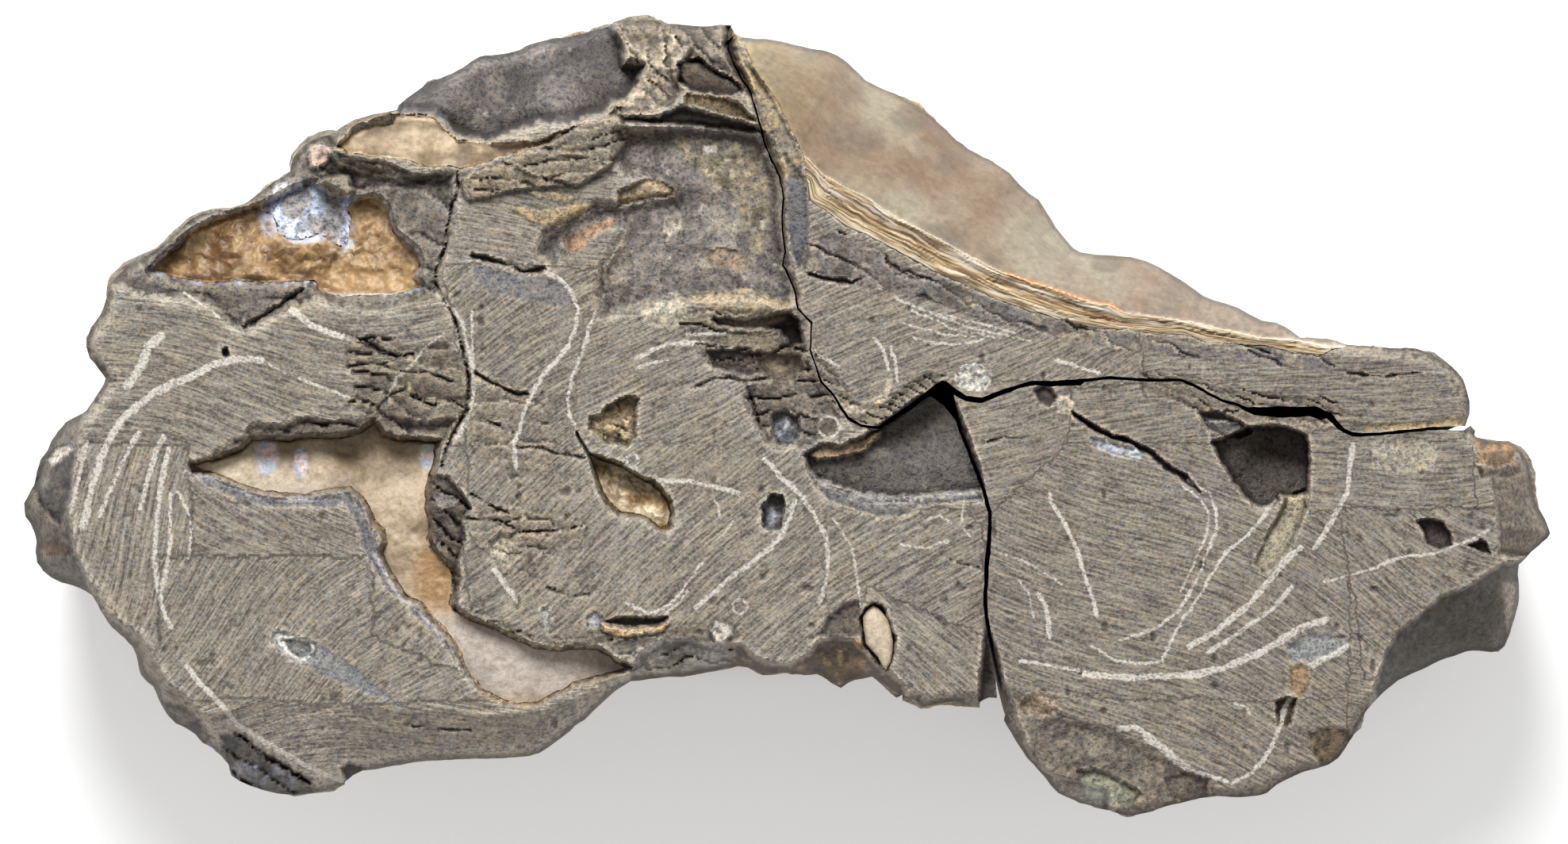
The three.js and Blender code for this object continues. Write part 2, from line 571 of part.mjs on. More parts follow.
// The outside: walls that curve in from the widest level to a flat seat.
function outerBody() {
  const levels = [0, 0.05, 0.18, 0.4, 0.7, 1];
  const positions = [];
  const rows = [];
  for (const [step, level] of levels.entries()) {
    const inset = BASE_INSET * (1 - Math.sqrt(1 - (1 - level) ** 2));
    rows.push(rim.map(([x, y], i) => {
      const rough = step === 0 || step === levels.length - 1 ? 0 : 0.5;
      const pull = inset + rough * 0.02 * unevenness(i, step, 7);
      positions.push([x - END_INSET * x * pull, y + (spineAt(x) - y) * pull, level * widestAt([x, y])]);
      return positions.length - 1;
    }));
  }
  rows.push(rim.map(([x, y]) => positions.push([x, y, SKY]) - 1));
  const faces = [];
  const count = rim.length;
  const turn = THREE.ShapeUtils.area(rim.map(([x, y]) => new THREE.Vector2(x, y))) > 0;
  const face = (a, b, c) => faces.push(turn ? [a, b, c] : [a, c, b]);
  for (let level = 0; level < rows.length - 1; level += 1) {
    for (let i = 0; i < count; i += 1) {
      const j = (i + 1) % count;
      face(rows[level][i], rows[level][j], rows[level + 1][j]);
      face(rows[level][i], rows[level + 1][j], rows[level + 1][i]);
    }
  }
  const cap = (row, up) => {
    const flat = row.map((index) => new THREE.Vector2(positions[index][0], positions[index][1]));
    for (const [a, b, c] of THREE.ShapeUtils.triangulateShape(flat, [])) {
      const corners = [row[a], row[b], row[c]];
      const area = THREE.ShapeUtils.area([flat[a], flat[b], flat[c]]);
      if (area > 0 === up) faces.push(corners);
      else faces.push([corners[0], corners[2], corners[1]]);
    }
  };
  cap(rows[0], false);
  cap(rows[rows.length - 1], true);
  return solidFrom(positions, faces);
}

// The outline moved outward by a gap, with mitred corners.
function widened(outline, gap) {
  const turn = THREE.ShapeUtils.area(outline.map(([x, y]) => new THREE.Vector2(x, y))) > 0 ? 1 : -1;
  const outward = ([ax, ay], [bx, by]) => {
    const length = Math.hypot(bx - ax, by - ay);
    return [(turn * (by - ay)) / length, (-turn * (bx - ax)) / length];
  };
  return outline.map((point, i) => {
    const before = outward(outline[(i + outline.length - 1) % outline.length], point);
    const after = outward(point, outline[(i + 1) % outline.length]);
    const mitre = gap / Math.max(SHARPEST_MITRE, 1 + before[0] * after[0] + before[1] * after[1]);
    return [point[0] + (before[0] + after[0]) * mitre, point[1] + (before[1] + after[1]) * mitre];
  });
}

function largestPart(solid) {
  return solid.decompose().sort((a, b) => b.volume() - a.volume())[0];
}

function meshOf(name, solid, { colour, roughness }) {
  const { vertProperties, triVerts } = solid.getMesh();
  const geometry = new THREE.BufferGeometry();
  geometry.setAttribute('position', new THREE.BufferAttribute(new Float32Array(vertProperties), 3));
  geometry.setIndex(new THREE.BufferAttribute(new Uint32Array(triVerts), 1));
  geometry.computeVertexNormals();
  const material = new THREE.MeshStandardMaterial({ color: colour, roughness, metalness: 0 });
  const mesh = new THREE.Mesh(geometry, material);
  mesh.name = name;
  return mesh;
}

const stone = outerBody().intersect(groundBelow(0));
const bottomFlakeOutline = BOTTOM_FLAKE.map(toPlan);
const bottomFlakeFloor = BOTTOM_FLAKE_HEIGHTS[0] - LAYER_GAP;
const bottomFlakeRoom = prism(widened(bottomFlakeOutline, LAYER_GAP), bottomFlakeFloor, SKY);
const fossil = new THREE.Group();

const layerSolids = layers.map((layer) => {
  const room = prism(layer.outline, 0, SKY);
  return largestPart(room.intersect(stone).subtract(groundBelow(layer.thickness)));
});

for (const [name, outline] of Object.entries(BLOCKS)) {
  let block = prism(outline.map(toPlan), BELOW, SKY).intersect(stone);
  for (const layer of layers.filter((each) => each.block === name)) {
    const room = prism(widened(layer.outline, LAYER_GAP), 0, SKY);
    block = block.subtract(room.subtract(groundBelow(layer.thickness + LAYER_GAP)));
  }
  if (name === 'main_block') block = block.subtract(bottomFlakeRoom);
  fossil.add(meshOf(name, largestPart(block), ROCK));
}
layers.forEach((layer, i) => fossil.add(meshOf(layer.name, layerSolids[i], layer)));
fossil.add(meshOf('bottom_flake', prism(bottomFlakeOutline, ...BOTTOM_FLAKE_HEIGHTS), CREAM_SHELL));

export default fossil;
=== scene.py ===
import itertools
import math
import bpy
import numpy as np
from mathutils.geometry import delaunay_2d_cdt
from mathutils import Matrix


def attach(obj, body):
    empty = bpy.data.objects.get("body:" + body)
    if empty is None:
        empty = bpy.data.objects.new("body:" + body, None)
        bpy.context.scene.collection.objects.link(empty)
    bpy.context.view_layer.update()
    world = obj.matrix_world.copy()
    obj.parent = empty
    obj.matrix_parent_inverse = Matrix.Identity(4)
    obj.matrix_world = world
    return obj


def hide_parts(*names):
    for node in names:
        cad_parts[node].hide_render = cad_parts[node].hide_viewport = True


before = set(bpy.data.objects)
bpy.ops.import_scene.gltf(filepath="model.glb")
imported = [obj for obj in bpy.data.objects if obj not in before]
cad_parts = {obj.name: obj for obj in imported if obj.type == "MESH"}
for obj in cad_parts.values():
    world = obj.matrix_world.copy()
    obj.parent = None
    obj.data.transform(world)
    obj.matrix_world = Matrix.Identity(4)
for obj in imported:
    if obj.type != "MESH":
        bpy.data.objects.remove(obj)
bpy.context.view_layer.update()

# Sizes are in millimetres until a mesh is made. Outlines were read off the photo, in its pixels.
stone = {
    "lengthMm": 100.0, "lengthPx": 1924.0, "centrePx": (992.0, 526.5), "viewCentrePx": (988.5, 532.0),
    "faceHeightMm": 27.0, "fallAtEndsMm": 1.3, "viewDistanceMm": 858.0,
    "rimSpacingMm": 0.4, "wallLevels": 40, "baseInset": 0.4, "endInset": 0.25,
    "rimRoundingMm": 1.0, "rimRoundingWidthMm": 0.9,
}
spacings = {"mainLeft": 0.225, "mainRight": 0.172, "upperRight": 0.12, "lowerRight": 0.128}
photoSizePx = (1977.0, 1064.0)
beyondMm = 99.0  # past the stone on any side
mainSplitMm = -22.5  # the main block's net is coarser to the left of this
mmPerPx = stone["lengthMm"] / stone["lengthPx"]


def plan(px):
    px = np.asarray(px, float)
    return (px - np.array(stone["centrePx"])) * np.array([mmPerPx, -mmPerPx])


sight = plan(stone["viewCentrePx"])


def paint(red, green, blue):  # an sRGB colour seen by eye, as the linear one that nodes take
    srgb = np.array([red, green, blue]) / 255.0
    return np.where(srgb <= 0.04045, srgb / 12.92, ((srgb + 0.055) / 1.055) ** 2.4)


# Outer edge, clockwise as seen, in three runs that meet the cracks.
mainRim = [
    (1247, 879), (1240, 882), (1234, 886), (1224, 886), (1206, 885), (1186, 886), (1172, 889), (1163, 888),
    (1153, 883), (1141, 877), (1126, 870), (1113, 861), (1099, 853), (1088, 855), (1077, 857), (1069, 861),
    (1060, 867), (1048, 861), (1037, 853), (1030, 849), (1014, 851), (992, 846), (979, 848), (963, 847),
    (950, 843), (933, 840), (923, 841), (902, 845), (884, 849), (860, 853), (834, 854), (806, 858),
    (795, 859), (784, 865), (773, 874), (761, 885), (743, 902), (725, 916), (708, 930), (692, 942),
    (680, 949), (667, 953), (647, 955), (620, 956), (560, 958), (530, 961), (505, 964), (481, 969),
    (457, 972), (445, 978), (433, 987), (420, 994), (406, 998), (388, 1000), (371, 1002), (349, 1000),
    (333, 996), (317, 991), (303, 984), (294, 976), (287, 964), (279, 952), (268, 943), (256, 936),
    (247, 926), (235, 919), (222, 912), (212, 902), (203, 888), (198, 877), (193, 866), (184, 857),
    (178, 850), (174, 839), (172, 826), (167, 815), (158, 805), (151, 800), (141, 791), (131, 777),
    (123, 762), (116, 750), (107, 745), (95, 740), (78, 734), (64, 728), (54, 720), (47, 709), (45, 695),
    (46, 683), (43, 671), (39, 660), (32, 651), (31, 643), (30, 634), (36, 624), (42, 611), (46, 594),
    (51, 579), (60, 567), (65, 556), (73, 544), (83, 532), (96, 525), (108, 518), (117, 505), (124, 494),
    (131, 483), (133, 477), (130, 472), (124, 464), (113, 452), (109, 437), (109, 425), (115, 413),
    (127, 397), (133, 382), (136, 372), (140, 357), (160, 337), (180, 325), (200, 313), (215, 303),
    (225, 291), (238, 279), (252, 271), (270, 267), (290, 265), (305, 259), (320, 249), (333, 238),
    (346, 229), (358, 222), (366, 216), (367, 207), (371, 197), (381, 186), (391, 178), (403, 173),
    (415, 171), (426, 171), (438, 164), (450, 156), (463, 150), (480, 145), (492, 142), (501, 139),
    (503, 132), (512, 124), (526, 115), (540, 105), (555, 98), (570, 92), (583, 85), (595, 77), (605, 72),
    (620, 70), (640, 66), (655, 62), (667, 56), (680, 52), (694, 49), (714, 47), (734, 42), (754, 36),
    (774, 31), (794, 27), (810, 25), (824, 26), (837, 30), (850, 31), (870, 32), (896, 33), (908, 31),
    (922, 32),
]
upperRightRim = [
    (922, 34), (927, 42), (935, 47), (948, 49), (966, 49), (984, 52), (1000, 56), (1020, 61), (1038, 65),
    (1056, 71), (1068, 79), (1081, 91), (1091, 101), (1100, 106), (1115, 113), (1128, 119), (1145, 129),
    (1162, 139), (1178, 150), (1192, 163), (1206, 177), (1221, 188), (1240, 199), (1258, 208), (1273, 218),
    (1285, 232), (1298, 244), (1310, 252), (1320, 268), (1330, 285), (1343, 301), (1353, 313), (1362, 318),
    (1382, 321), (1402, 322), (1426, 324), (1445, 329), (1462, 337), (1480, 348), (1500, 361), (1515, 372),
    (1529, 378), (1547, 383), (1561, 388), (1575, 396), (1591, 404), (1609, 407), (1621, 413), (1633, 421),
    (1640, 426), (1657, 426), (1672, 427), (1685, 430), (1697, 434), (1712, 436), (1732, 436), (1752, 438),
    (1772, 438), (1786, 440), (1800, 445), (1812, 453), (1826, 459), (1836, 467), (1844, 478), (1850, 491),
    (1853, 506), (1852, 522), (1847, 537),
]
lowerRightRim = [
    (1852, 543), (1862, 551), (1875, 556), (1889, 557), (1902, 557), (1911, 562), (1920, 571), (1926, 582),
    (1930, 597), (1931, 610), (1933, 624), (1939, 638), (1946, 652), (1952, 664), (1954, 672), (1950, 678),
    (1940, 687), (1930, 696), (1923, 704), (1915, 712), (1914, 724), (1915, 744), (1914, 762), (1910, 779),
    (1905, 792), (1900, 803), (1895, 813), (1888, 819), (1880, 820), (1864, 820), (1849, 822), (1833, 827),
    (1815, 833), (1799, 841), (1780, 850), (1763, 858), (1749, 869), (1737, 880), (1730, 887), (1721, 900),
    (1713, 915), (1704, 930), (1696, 944), (1687, 955), (1675, 964), (1659, 970), (1640, 974), (1625, 981),
    (1610, 990), (1597, 999), (1585, 1003), (1570, 1005), (1552, 1005), (1535, 1004), (1514, 1006),
    (1495, 1011), (1476, 1016), (1460, 1020), (1446, 1025), (1429, 1028), (1414, 1026), (1399, 1022),
    (1381, 1018), (1361, 1012), (1346, 1006), (1334, 1000), (1324, 989), (1311, 974), (1298, 959),
    (1286, 943), (1275, 924), (1266, 908),
]

# The open cracks: each block has its own side of them, and the black gap lies between.
noseEdge = [
    (1145, 511), (1123, 526), (1108, 537), (1086, 535), (1071, 526), (1061, 512), (1052, 497), (1037, 481),
    (1030, 465), (1022, 440), (1023, 406), (1006, 388), (1004, 370), (998, 352), (988, 334), (991, 318),
    (988, 298), (986, 273), (988, 251), (984, 222), (973, 201), (964, 176), (957, 147), (948, 118),
    (927, 83), (918, 60),
]
noseOtherSide = [
    (1166, 503), (1149, 516), (1126, 531), (1110, 541), (1086, 539), (1069, 529), (1059, 515), (1050, 499),
    (1035, 483), (1028, 466), (1020, 441), (1021, 408), (1004, 389), (1002, 371), (996, 353), (986, 335),
    (989, 318), (986, 298), (984, 273), (986, 251), (982, 223), (971, 202), (962, 177), (955, 148),
    (946, 119), (925, 84), (917, 61), (921, 46),
]
longCrackUpper = [
    (1825, 538), (1800, 539), (1772, 542), (1740, 545), (1715, 546), (1705, 545), (1695, 541), (1685, 531),
    (1677, 521), (1658, 512), (1641, 512), (1611, 512), (1573, 514), (1561, 509), (1541, 503), (1523, 495),
    (1505, 485), (1490, 478), (1442, 477), (1400, 474), (1362, 477), (1333, 480), (1300, 481), (1283, 486),
    (1259, 493), (1238, 501), (1218, 499), (1206, 490), (1194, 480), (1188, 479), (1180, 484), (1166, 495),
]
longCrackLower = [
    (1203, 498), (1218, 506), (1238, 508), (1259, 500), (1283, 491), (1300, 487), (1333, 487), (1362, 486),
    (1367, 481), (1400, 478), (1442, 481), (1490, 482), (1505, 489), (1523, 499), (1541, 507), (1561, 513),
    (1568, 518), (1581, 524), (1619, 526), (1650, 524), (1665, 530), (1672, 528), (1685, 540), (1695, 546),
    (1705, 550), (1715, 551), (1740, 549), (1772, 546), (1800, 543), (1825, 542),
]
uprightCrackRight = [
    (1267, 893), (1262, 857), (1256, 829), (1250, 795), (1246, 768), (1246, 743), (1247, 715), (1249, 697),
    (1251, 666), (1250, 644), (1243, 620), (1235, 597), (1223, 568), (1213, 543), (1208, 520),
]
uprightCrackLeft = [
    (1174, 500), (1190, 512), (1205, 530), (1209, 543), (1219, 570), (1230, 598), (1238, 620), (1245, 646),
    (1246, 666), (1243, 697), (1241, 715), (1241, 743), (1241, 768), (1245, 795), (1251, 829), (1256, 857),
    (1258, 880),
]

# Middle line that the hidden walls draw in towards.
spineLine = [
    (130, 630), (400, 588), (600, 520), (850, 450), (1100, 480), (1240, 545), (1360, 650), (1550, 690),
    (1870, 665),
]

flankCrest = [
    (925, 20), (945, 80), (977, 133), (1011, 194), (1038, 222), (1070, 239), (1095, 251), (1131, 276),
    (1167, 294), (1196, 309), (1221, 323), (1257, 341), (1293, 354), (1329, 366), (1365, 379), (1400, 386),
    (1418, 396), (1462, 400), (1511, 408), (1551, 418), (1591, 427), (1631, 429), (1671, 437), (1732, 441),
]
bandFoot = [
    (1015, 230), (1018, 255), (1041, 269), (1067, 287), (1095, 301), (1131, 319), (1167, 339), (1189, 352),
    (1214, 361), (1239, 373), (1275, 386), (1304, 397), (1347, 409), (1382, 416), (1418, 418), (1458, 424),
    (1491, 423), (1519, 433), (1551, 435), (1591, 439), (1631, 447), (1660, 451), (1690, 446),
]

# Slopes from a crest on the face down to the outer edge.
slopes = {
    "flank": {
        "crest": flankCrest,
        "outside": [(1760, 380), (1300, 60), (925, -30)],
        "startMm": 0.5, "fallMm": 13.0, "colour": (132, 119, 97), "stroke": 0.0},
    # rightFacet's dark colour is painted shade of a facet turned away from the light.
    "rightFacet": {
        "crest": [(1930, 700), (1896, 710), (1877, 721), (1848, 739), (1820, 747), (1802, 759), (1782, 779),
            (1762, 796), (1747, 820), (1739, 843), (1730, 866), (1737, 900)],
        "outside": [(1990, 960), (1990, 700)],
        "startMm": 0.3, "fallMm": 8.0, "colour": (70, 65, 58), "stroke": 0.0},
    "rightEnd": {
        "crest": [(1850, 520), (1858, 560), (1876, 600), (1886, 650), (1886, 700)],
        "outside": [(1990, 710), (1990, 520)],
        "startMm": 0.2, "fallMm": 5.0, "colour": (112, 102, 90), "stroke": 0.1},
    "rightLobeSide": {
        "crest": [(1240, 780), (1258, 819), (1266, 857), (1275, 878), (1284, 901), (1293, 925), (1302, 949),
            (1314, 966), (1337, 978), (1400, 992)],
        "outside": [(1400, 1080), (1230, 960)],
        "startMm": 0.3, "fallMm": 7.0, "colour": (88, 81, 72), "stroke": 0.0},
    "middleUnderside": {
        "crest": [(794, 850), (806, 826), (840, 804), (905, 815), (936, 811), (952, 827), (973, 835),
            (1000, 835), (1021, 824), (1031, 811), (1050, 803), (1075, 806), (1110, 838), (1140, 862)],
        "outside": [(1140, 920), (794, 920)],
        "startMm": 1.6, "fallMm": 6.0, "colour": (104, 92, 78), "stroke": 0.0},
    # lowerBevel's colour is lighter than the face as painted light that lifts the shade on this bevel, which
    # faces away from the key light.
    "lowerBevel": {
        "crest": [(262, 900), (330, 882), (430, 885), (520, 893), (620, 900), (690, 892), (740, 872),
            (792, 846)],
        "outside": [(820, 900), (700, 1020), (240, 1060), (220, 920)],
        "startMm": 0.1, "fallMm": 3.2, "colour": (136, 129, 118), "stroke": 0.9},
    "lowerLeftSide": {
        "crest": [(128, 770), (180, 800), (212, 860), (262, 900)],
        "outside": [(240, 980), (100, 820)],
        "startMm": 0.1, "fallMm": 4.0, "colour": (112, 104, 92), "stroke": 0.3},
    "leftEnd": {
        "crest": [(116, 512), (100, 545), (92, 600), (90, 660), (98, 700), (128, 770)],
        "outside": [(60, 830), (-20, 700), (20, 500)],
        "startMm": 0.3, "fallMm": 5.0, "colour": (88, 82, 74), "stroke": 0.0},
}

# Hollows, chips and patches of the face, laid one over another: the outline, the width of its side wall,
# how deep it lies at some spots, how uneven it is, its colour, and how much of the grinding it shows.
# Slabs are the slope in degrees, the size and the height of broken layers. What is left out is as usual.
usualPatch = {"wallMm": 0.3, "unevenMm": 0.15, "grainMm": 0.5, "stroke": 0.0, "rough": 0.6, "spots": None}
patches = {
    "upperLeftMould": {
        "outline": [(480, 90), (600, 20), (773, -10), (776, 38), (788, 60), (788, 80), (812, 84),
            (806, 104), (790, 122), (770, 128), (758, 140), (720, 151), (680, 154), (660, 160), (640, 167),
            (613, 177), (590, 174), (573, 167), (557, 150), (547, 143), (505, 141)],
        "wallMm": 0.9, "spots": [(560, 135, 4.5), (700, 140, 4.0), (640, 80, 8.0), (740, 50, 9.5),
            (540, 110, 7.5)], "unevenMm": 0.16, "grainMm": 2.0, "colour": (78, 74, 72), "rough": 0.5,
            "blotches": [((100, 95, 91), 2.4, -0.05), ((60, 57, 56), 1.5, -0.2),
            ((126, 122, 118), 0.8, -0.42)]},
    "creamRidge": {
        "outline": [(773, -10), (778, 38), (790, 60), (790, 80), (814, 84), (808, 104), (780, 128),
            (770, 143), (813, 145), (847, 134), (862, 112), (848, 87), (864, 58), (850, 44), (836, 36),
            (830, -10)],
        "wallMm": 0.8, "spots": [(815, 138, 1.0), (830, 90, 4.0), (810, 35, 8.0)], "unevenMm": 0.35,
            "grainMm": 0.7, "colour": (120, 111, 98), "rough": 0.7,
            "blotches": [((158, 148, 132), 1.1, -0.02), ((84, 77, 69), 0.8, -0.2)], "slabs": (35, 0.9, 0.35)},
    "topShoulder": {
        "outline": [(830, -10), (836, 36), (850, 44), (866, 60), (862, 76), (900, 86), (923, 96),
            (946, 118), (925, 70), (925, -10)],
        "wallMm": 0.8, "spots": [(900, 75, 3.0), (885, 40, 6.5)], "unevenMm": 0.3, "grainMm": 1.1,
            "colour": (104, 97, 87), "rough": 0.75, "blotches": [((140, 130, 112), 0.9, -0.15),
            ((70, 64, 57), 0.9, -0.2)], "slabs": (60, 1.3, 0.35)},
    # darkNotch's dark colour is painted shade inside the cavity.
    "darkNotch": {
        "outline": [(853, 82), (867, 75), (880, 75), (900, 87), (923, 97), (938, 113), (923, 120),
            (897, 117), (870, 115), (857, 103)],
        "spots": [(895, 100, 2.6)], "unevenMm": 0.2, "grainMm": 0.8, "colour": (70, 63, 55), "rough": 0.8},
    "tanStrip": {
        "outline": [(865, 117), (913, 122), (930, 130), (953, 153), (913, 144), (880, 135), (863, 131)],
        "wallMm": 0.25, "spots": [(900, 130, 1.0)], "unevenMm": 0.1, "grainMm": 0.6,
            "colour": (140, 122, 94)},
    "shellFlakeBed": {
        "outline": [(424, 186), (447, 160), (497, 143), (545, 145), (560, 162), (577, 178), (613, 183),
            (647, 182), (680, 178), (740, 153), (700, 178), (640, 195), (613, 204), (587, 212), (547, 211),
            (513, 202), (467, 198), (433, 192)],
        "wallMm": 0.25, "spots": [(440, 188, 1.6), (520, 150, 2.2), (560, 205, 0.4), (640, 185, 0.8),
            (720, 165, 0.8)], "unevenMm": 0.12, "grainMm": 0.8, "colour": (160, 138, 106)},
    "chipUnderFlake": {
        "outline": [(416, 190), (450, 200), (483, 206), (517, 218), (562, 220), (533, 231), (500, 224),
            (467, 218), (433, 206)],
        "wallMm": 0.25, "spots": [(500, 215, 0.6)], "grainMm": 0.8, "colour": (88, 81, 72), "rough": 0.75,
            "slabs": (82, 0.5, 0.35)},
    "centralRecess": {
        "outline": [(780, 168), (860, 160), (950, 167), (968, 182), (984, 222), (986, 300), (992, 340),
            (1002, 372), (990, 382), (950, 366), (900, 370), (850, 374), (800, 386), (764, 395), (755, 368),
            (762, 340), (780, 306), (788, 290), (770, 276), (740, 292), (712, 320), (698, 330), (684, 318),
            (690, 296), (707, 284), (737, 268), (752, 258), (782, 262), (848, 248), (849, 238), (827, 224),
            (792, 218), (780, 205)],
        "wallMm": 1.3, "spots": [(760, 300, 0.8), (800, 360, 1.0), (900, 350, 1.4), (940, 230, 2.8),
            (850, 180, 3.0), (800, 240, 1.4)], "unevenMm": 0.35, "grainMm": 1.0, "colour": (110, 104, 98),
            "rough": 0.5, "blotches": [((134, 126, 114), 1.8, -0.12), ((80, 75, 71), 1.4, -0.18),
            ((176, 168, 154), 0.7, -0.36)]},
    "recessMottle": {
        "outline": [(842, 170), (905, 176), (955, 186), (972, 230), (972, 300), (950, 330), (930, 262),
            (905, 230), (868, 205)],
        "wallMm": 0.9, "unevenMm": 0.3, "grainMm": 1.0, "colour": (118, 109, 95),
            "blotches": [((152, 140, 116), 1.0, -0.16), ((88, 79, 62), 0.9, -0.15),
            ((178, 173, 164), 0.8, -0.34)]},
    "recessTriangle": {
        "outline": [(888, 322), (912, 312), (930, 320), (951, 334), (938, 342), (915, 340), (896, 334)],
        "unevenMm": 0.1, "grainMm": 0.6, "colour": (138, 122, 106), "rough": 0.55},
    "blueFacet": {
        "outline": [(597, 331), (650, 345), (690, 350), (718, 365), (727, 385), (700, 387), (660, 378),
            (620, 368), (600, 350)],
        "spots": [(660, 360, 0.1)], "unevenMm": 0.05, "grainMm": 0.8, "colour": (114, 111, 109),
            "stroke": 0.25},
    "pinkBrownPatch": {
        "outline": [(708, 302), (737, 290), (770, 273), (784, 279), (757, 293), (737, 313), (716, 322)],
        "unevenMm": 0.05, "grainMm": 0.6, "colour": (132, 108, 88), "rough": 0.55},
    # gapUnderStrip's near-black colour is painted shade in the crevice under the strip.
    "gapUnderStrip": {
        "outline": [(777, 143), (800, 148), (833, 147), (863, 134), (880, 141), (947, 156), (962, 166),
            (913, 162), (847, 156), (787, 154)],
        "wallMm": 0.4, "spots": [(860, 150, 1.5)], "grainMm": 0.6, "colour": (60, 53, 46), "rough": 0.8},
    "chipA": {
        "outline": [(710, 162), (767, 148), (780, 143), (790, 163), (792, 180), (779, 193), (775, 203),
            (766, 212), (753, 202), (697, 190), (688, 184)],
        "wallMm": 0.25, "spots": [(740, 175, -0.4)], "unevenMm": 0.3, "grainMm": 1.4,
            "colour": (112, 104, 92), "stroke": 0.25, "rough": 0.75, "slabs": (104, 1.0, 0.35)},
    "chipB": {
        "outline": [(633, 204), (667, 189), (745, 193), (764, 213), (730, 232), (680, 223), (660, 214)],
        "wallMm": 0.25, "spots": [(700, 208, -0.5)], "unevenMm": 0.3, "grainMm": 1.4,
            "colour": (118, 109, 96), "stroke": 0.25, "rough": 0.75, "slabs": (100, 1.0, 0.35)},
    "chipC": {
        "outline": [(581, 231), (588, 219), (620, 208), (652, 208), (690, 227), (711, 231), (687, 237),
            (647, 238), (613, 248), (590, 251), (584, 243)],
        "wallMm": 0.25, "spots": [(640, 226, -0.4)], "unevenMm": 0.3, "grainMm": 1.2,
            "colour": (116, 106, 92), "stroke": 0.2, "rough": 0.75, "slabs": (84, 0.9, 0.3)},
    "tanSliverA": {
        "outline": [(643, 258), (680, 265), (733, 255), (752, 257), (737, 267), (707, 283), (677, 280),
            (657, 270)],
        "wallMm": 0.2, "spots": [(700, 268, -0.15)], "unevenMm": 0.06, "colour": (142, 126, 100)},
    "tanSliverB": {
        "outline": [(657, 240), (690, 241), (727, 246), (713, 253), (680, 248)],
        "wallMm": 0.2, "spots": [(690, 246, -0.1)], "unevenMm": 0.05, "colour": (136, 121, 98)},
    "tanTriangle": {
        "outline": [(780, 242), (827, 222), (849, 238), (848, 247), (813, 255), (780, 262)],
        "wallMm": 0.25, "spots": [(820, 242, 0.6)], "unevenMm": 0.06, "colour": (138, 121, 96)},
    "pocketRim": {
        "outline": [(130, 352), (160, 322), (215, 290), (270, 250), (330, 215), (362, 190), (396, 160),
            (428, 165), (424, 186), (416, 192), (433, 208), (500, 226), (568, 222), (572, 262), (566, 300),
            (550, 340), (548, 372), (533, 378), (483, 388), (433, 386), (398, 372), (310, 416), (300, 414),
            (262, 380), (178, 368)],
        "wallMm": 0.9, "spots": [(200, 330, 2.2), (330, 370, 0.7), (390, 190, 3.0), (500, 240, 1.6),
            (555, 300, 0.6), (540, 365, 0.5), (230, 368, 0.7), (430, 215, 2.2)], "unevenMm": 0.35,
            "grainMm": 1.2, "colour": (100, 94, 86), "rough": 0.75,
            "blotches": [((128, 120, 108), 1.0, -0.15), ((66, 61, 56), 1.0, -0.18)], "slabs": (70, 1.8, 0.2)},
    "crystalPocket": {
        "outline": [(188, 340), (205, 322), (238, 294), (277, 272), (307, 264), (333, 254), (367, 238),
            (393, 228), (410, 232), (437, 248), (450, 250), (473, 246), (488, 257), (493, 270), (497, 287),
            (513, 303), (527, 317), (533, 330), (524, 350), (533, 360), (517, 368), (483, 375), (433, 378),
            (400, 367), (393, 355), (357, 360), (300, 358), (260, 358), (233, 354), (200, 345)],
        "wallMm": 0.5, "spots": [(215, 330, 2.6), (300, 345, 2.2), (300, 275, 2.4), (400, 250, 1.2),
            (372, 286, 1.0), (430, 350, 2.2), (480, 290, 2.2), (510, 345, 2.0)], "unevenMm": 0.25,
            "grainMm": 0.6, "colour": (134, 131, 131), "rough": 0.35,
            "blotches": [((178, 186, 208), 0.9, -0.02), ((124, 102, 76), 0.6, -0.25)]},
    "pinkLump": {
        "outline": [(391, 186), (404, 180), (416, 188), (415, 204), (404, 214), (393, 212), (388, 200)],
        "wallMm": 0.35, "spots": [(403, 198, -0.9)], "colour": (146, 130, 120)},
    "whiteOval": {
        "outline": [(343, 238), (352, 229), (366, 227), (368, 236), (356, 245), (345, 246)],
        "wallMm": 0.25, "unevenMm": 0.1, "grainMm": 0.4, "colour": (160, 156, 152), "rough": 0.5},
    "greyBeigeRock": {
        "outline": [(398, 232), (412, 224), (440, 222), (446, 240), (436, 250), (412, 246)],
        "spots": [(420, 236, -1.4)], "unevenMm": 0.2, "grainMm": 0.6, "colour": (112, 104, 92), "rough": 0.7},
    # overhangBand's dark colour is painted shade along the edge of the overhang above the hollow.
    "overhangBand": {
        "outline": [(262, 574), (283, 561), (304, 551), (318, 536), (337, 538), (358, 538), (372, 531),
            (388, 528), (404, 531), (420, 533), (455, 528), (476, 520), (500, 530), (540, 534), (575, 530),
            (564, 556), (527, 554), (502, 553), (484, 548), (472, 532), (454, 544), (430, 549), (390, 549),
            (358, 555), (318, 553), (302, 572), (269, 580)],
        "wallMm": 0.5, "spots": [(380, 538, 0.9), (300, 565, 0.5), (520, 530, 0.9), (480, 505, 0.2)],
            "unevenMm": 0.3, "grainMm": 1.0, "colour": (86, 79, 70), "stroke": 0.2, "rough": 0.75,
            "slabs": (76, 1.1, 0.4)},
    "hollowRimBand": {
        "outline": [(232, 590), (262, 598), (291, 611), (331, 624), (358, 627), (400, 626), (436, 622),
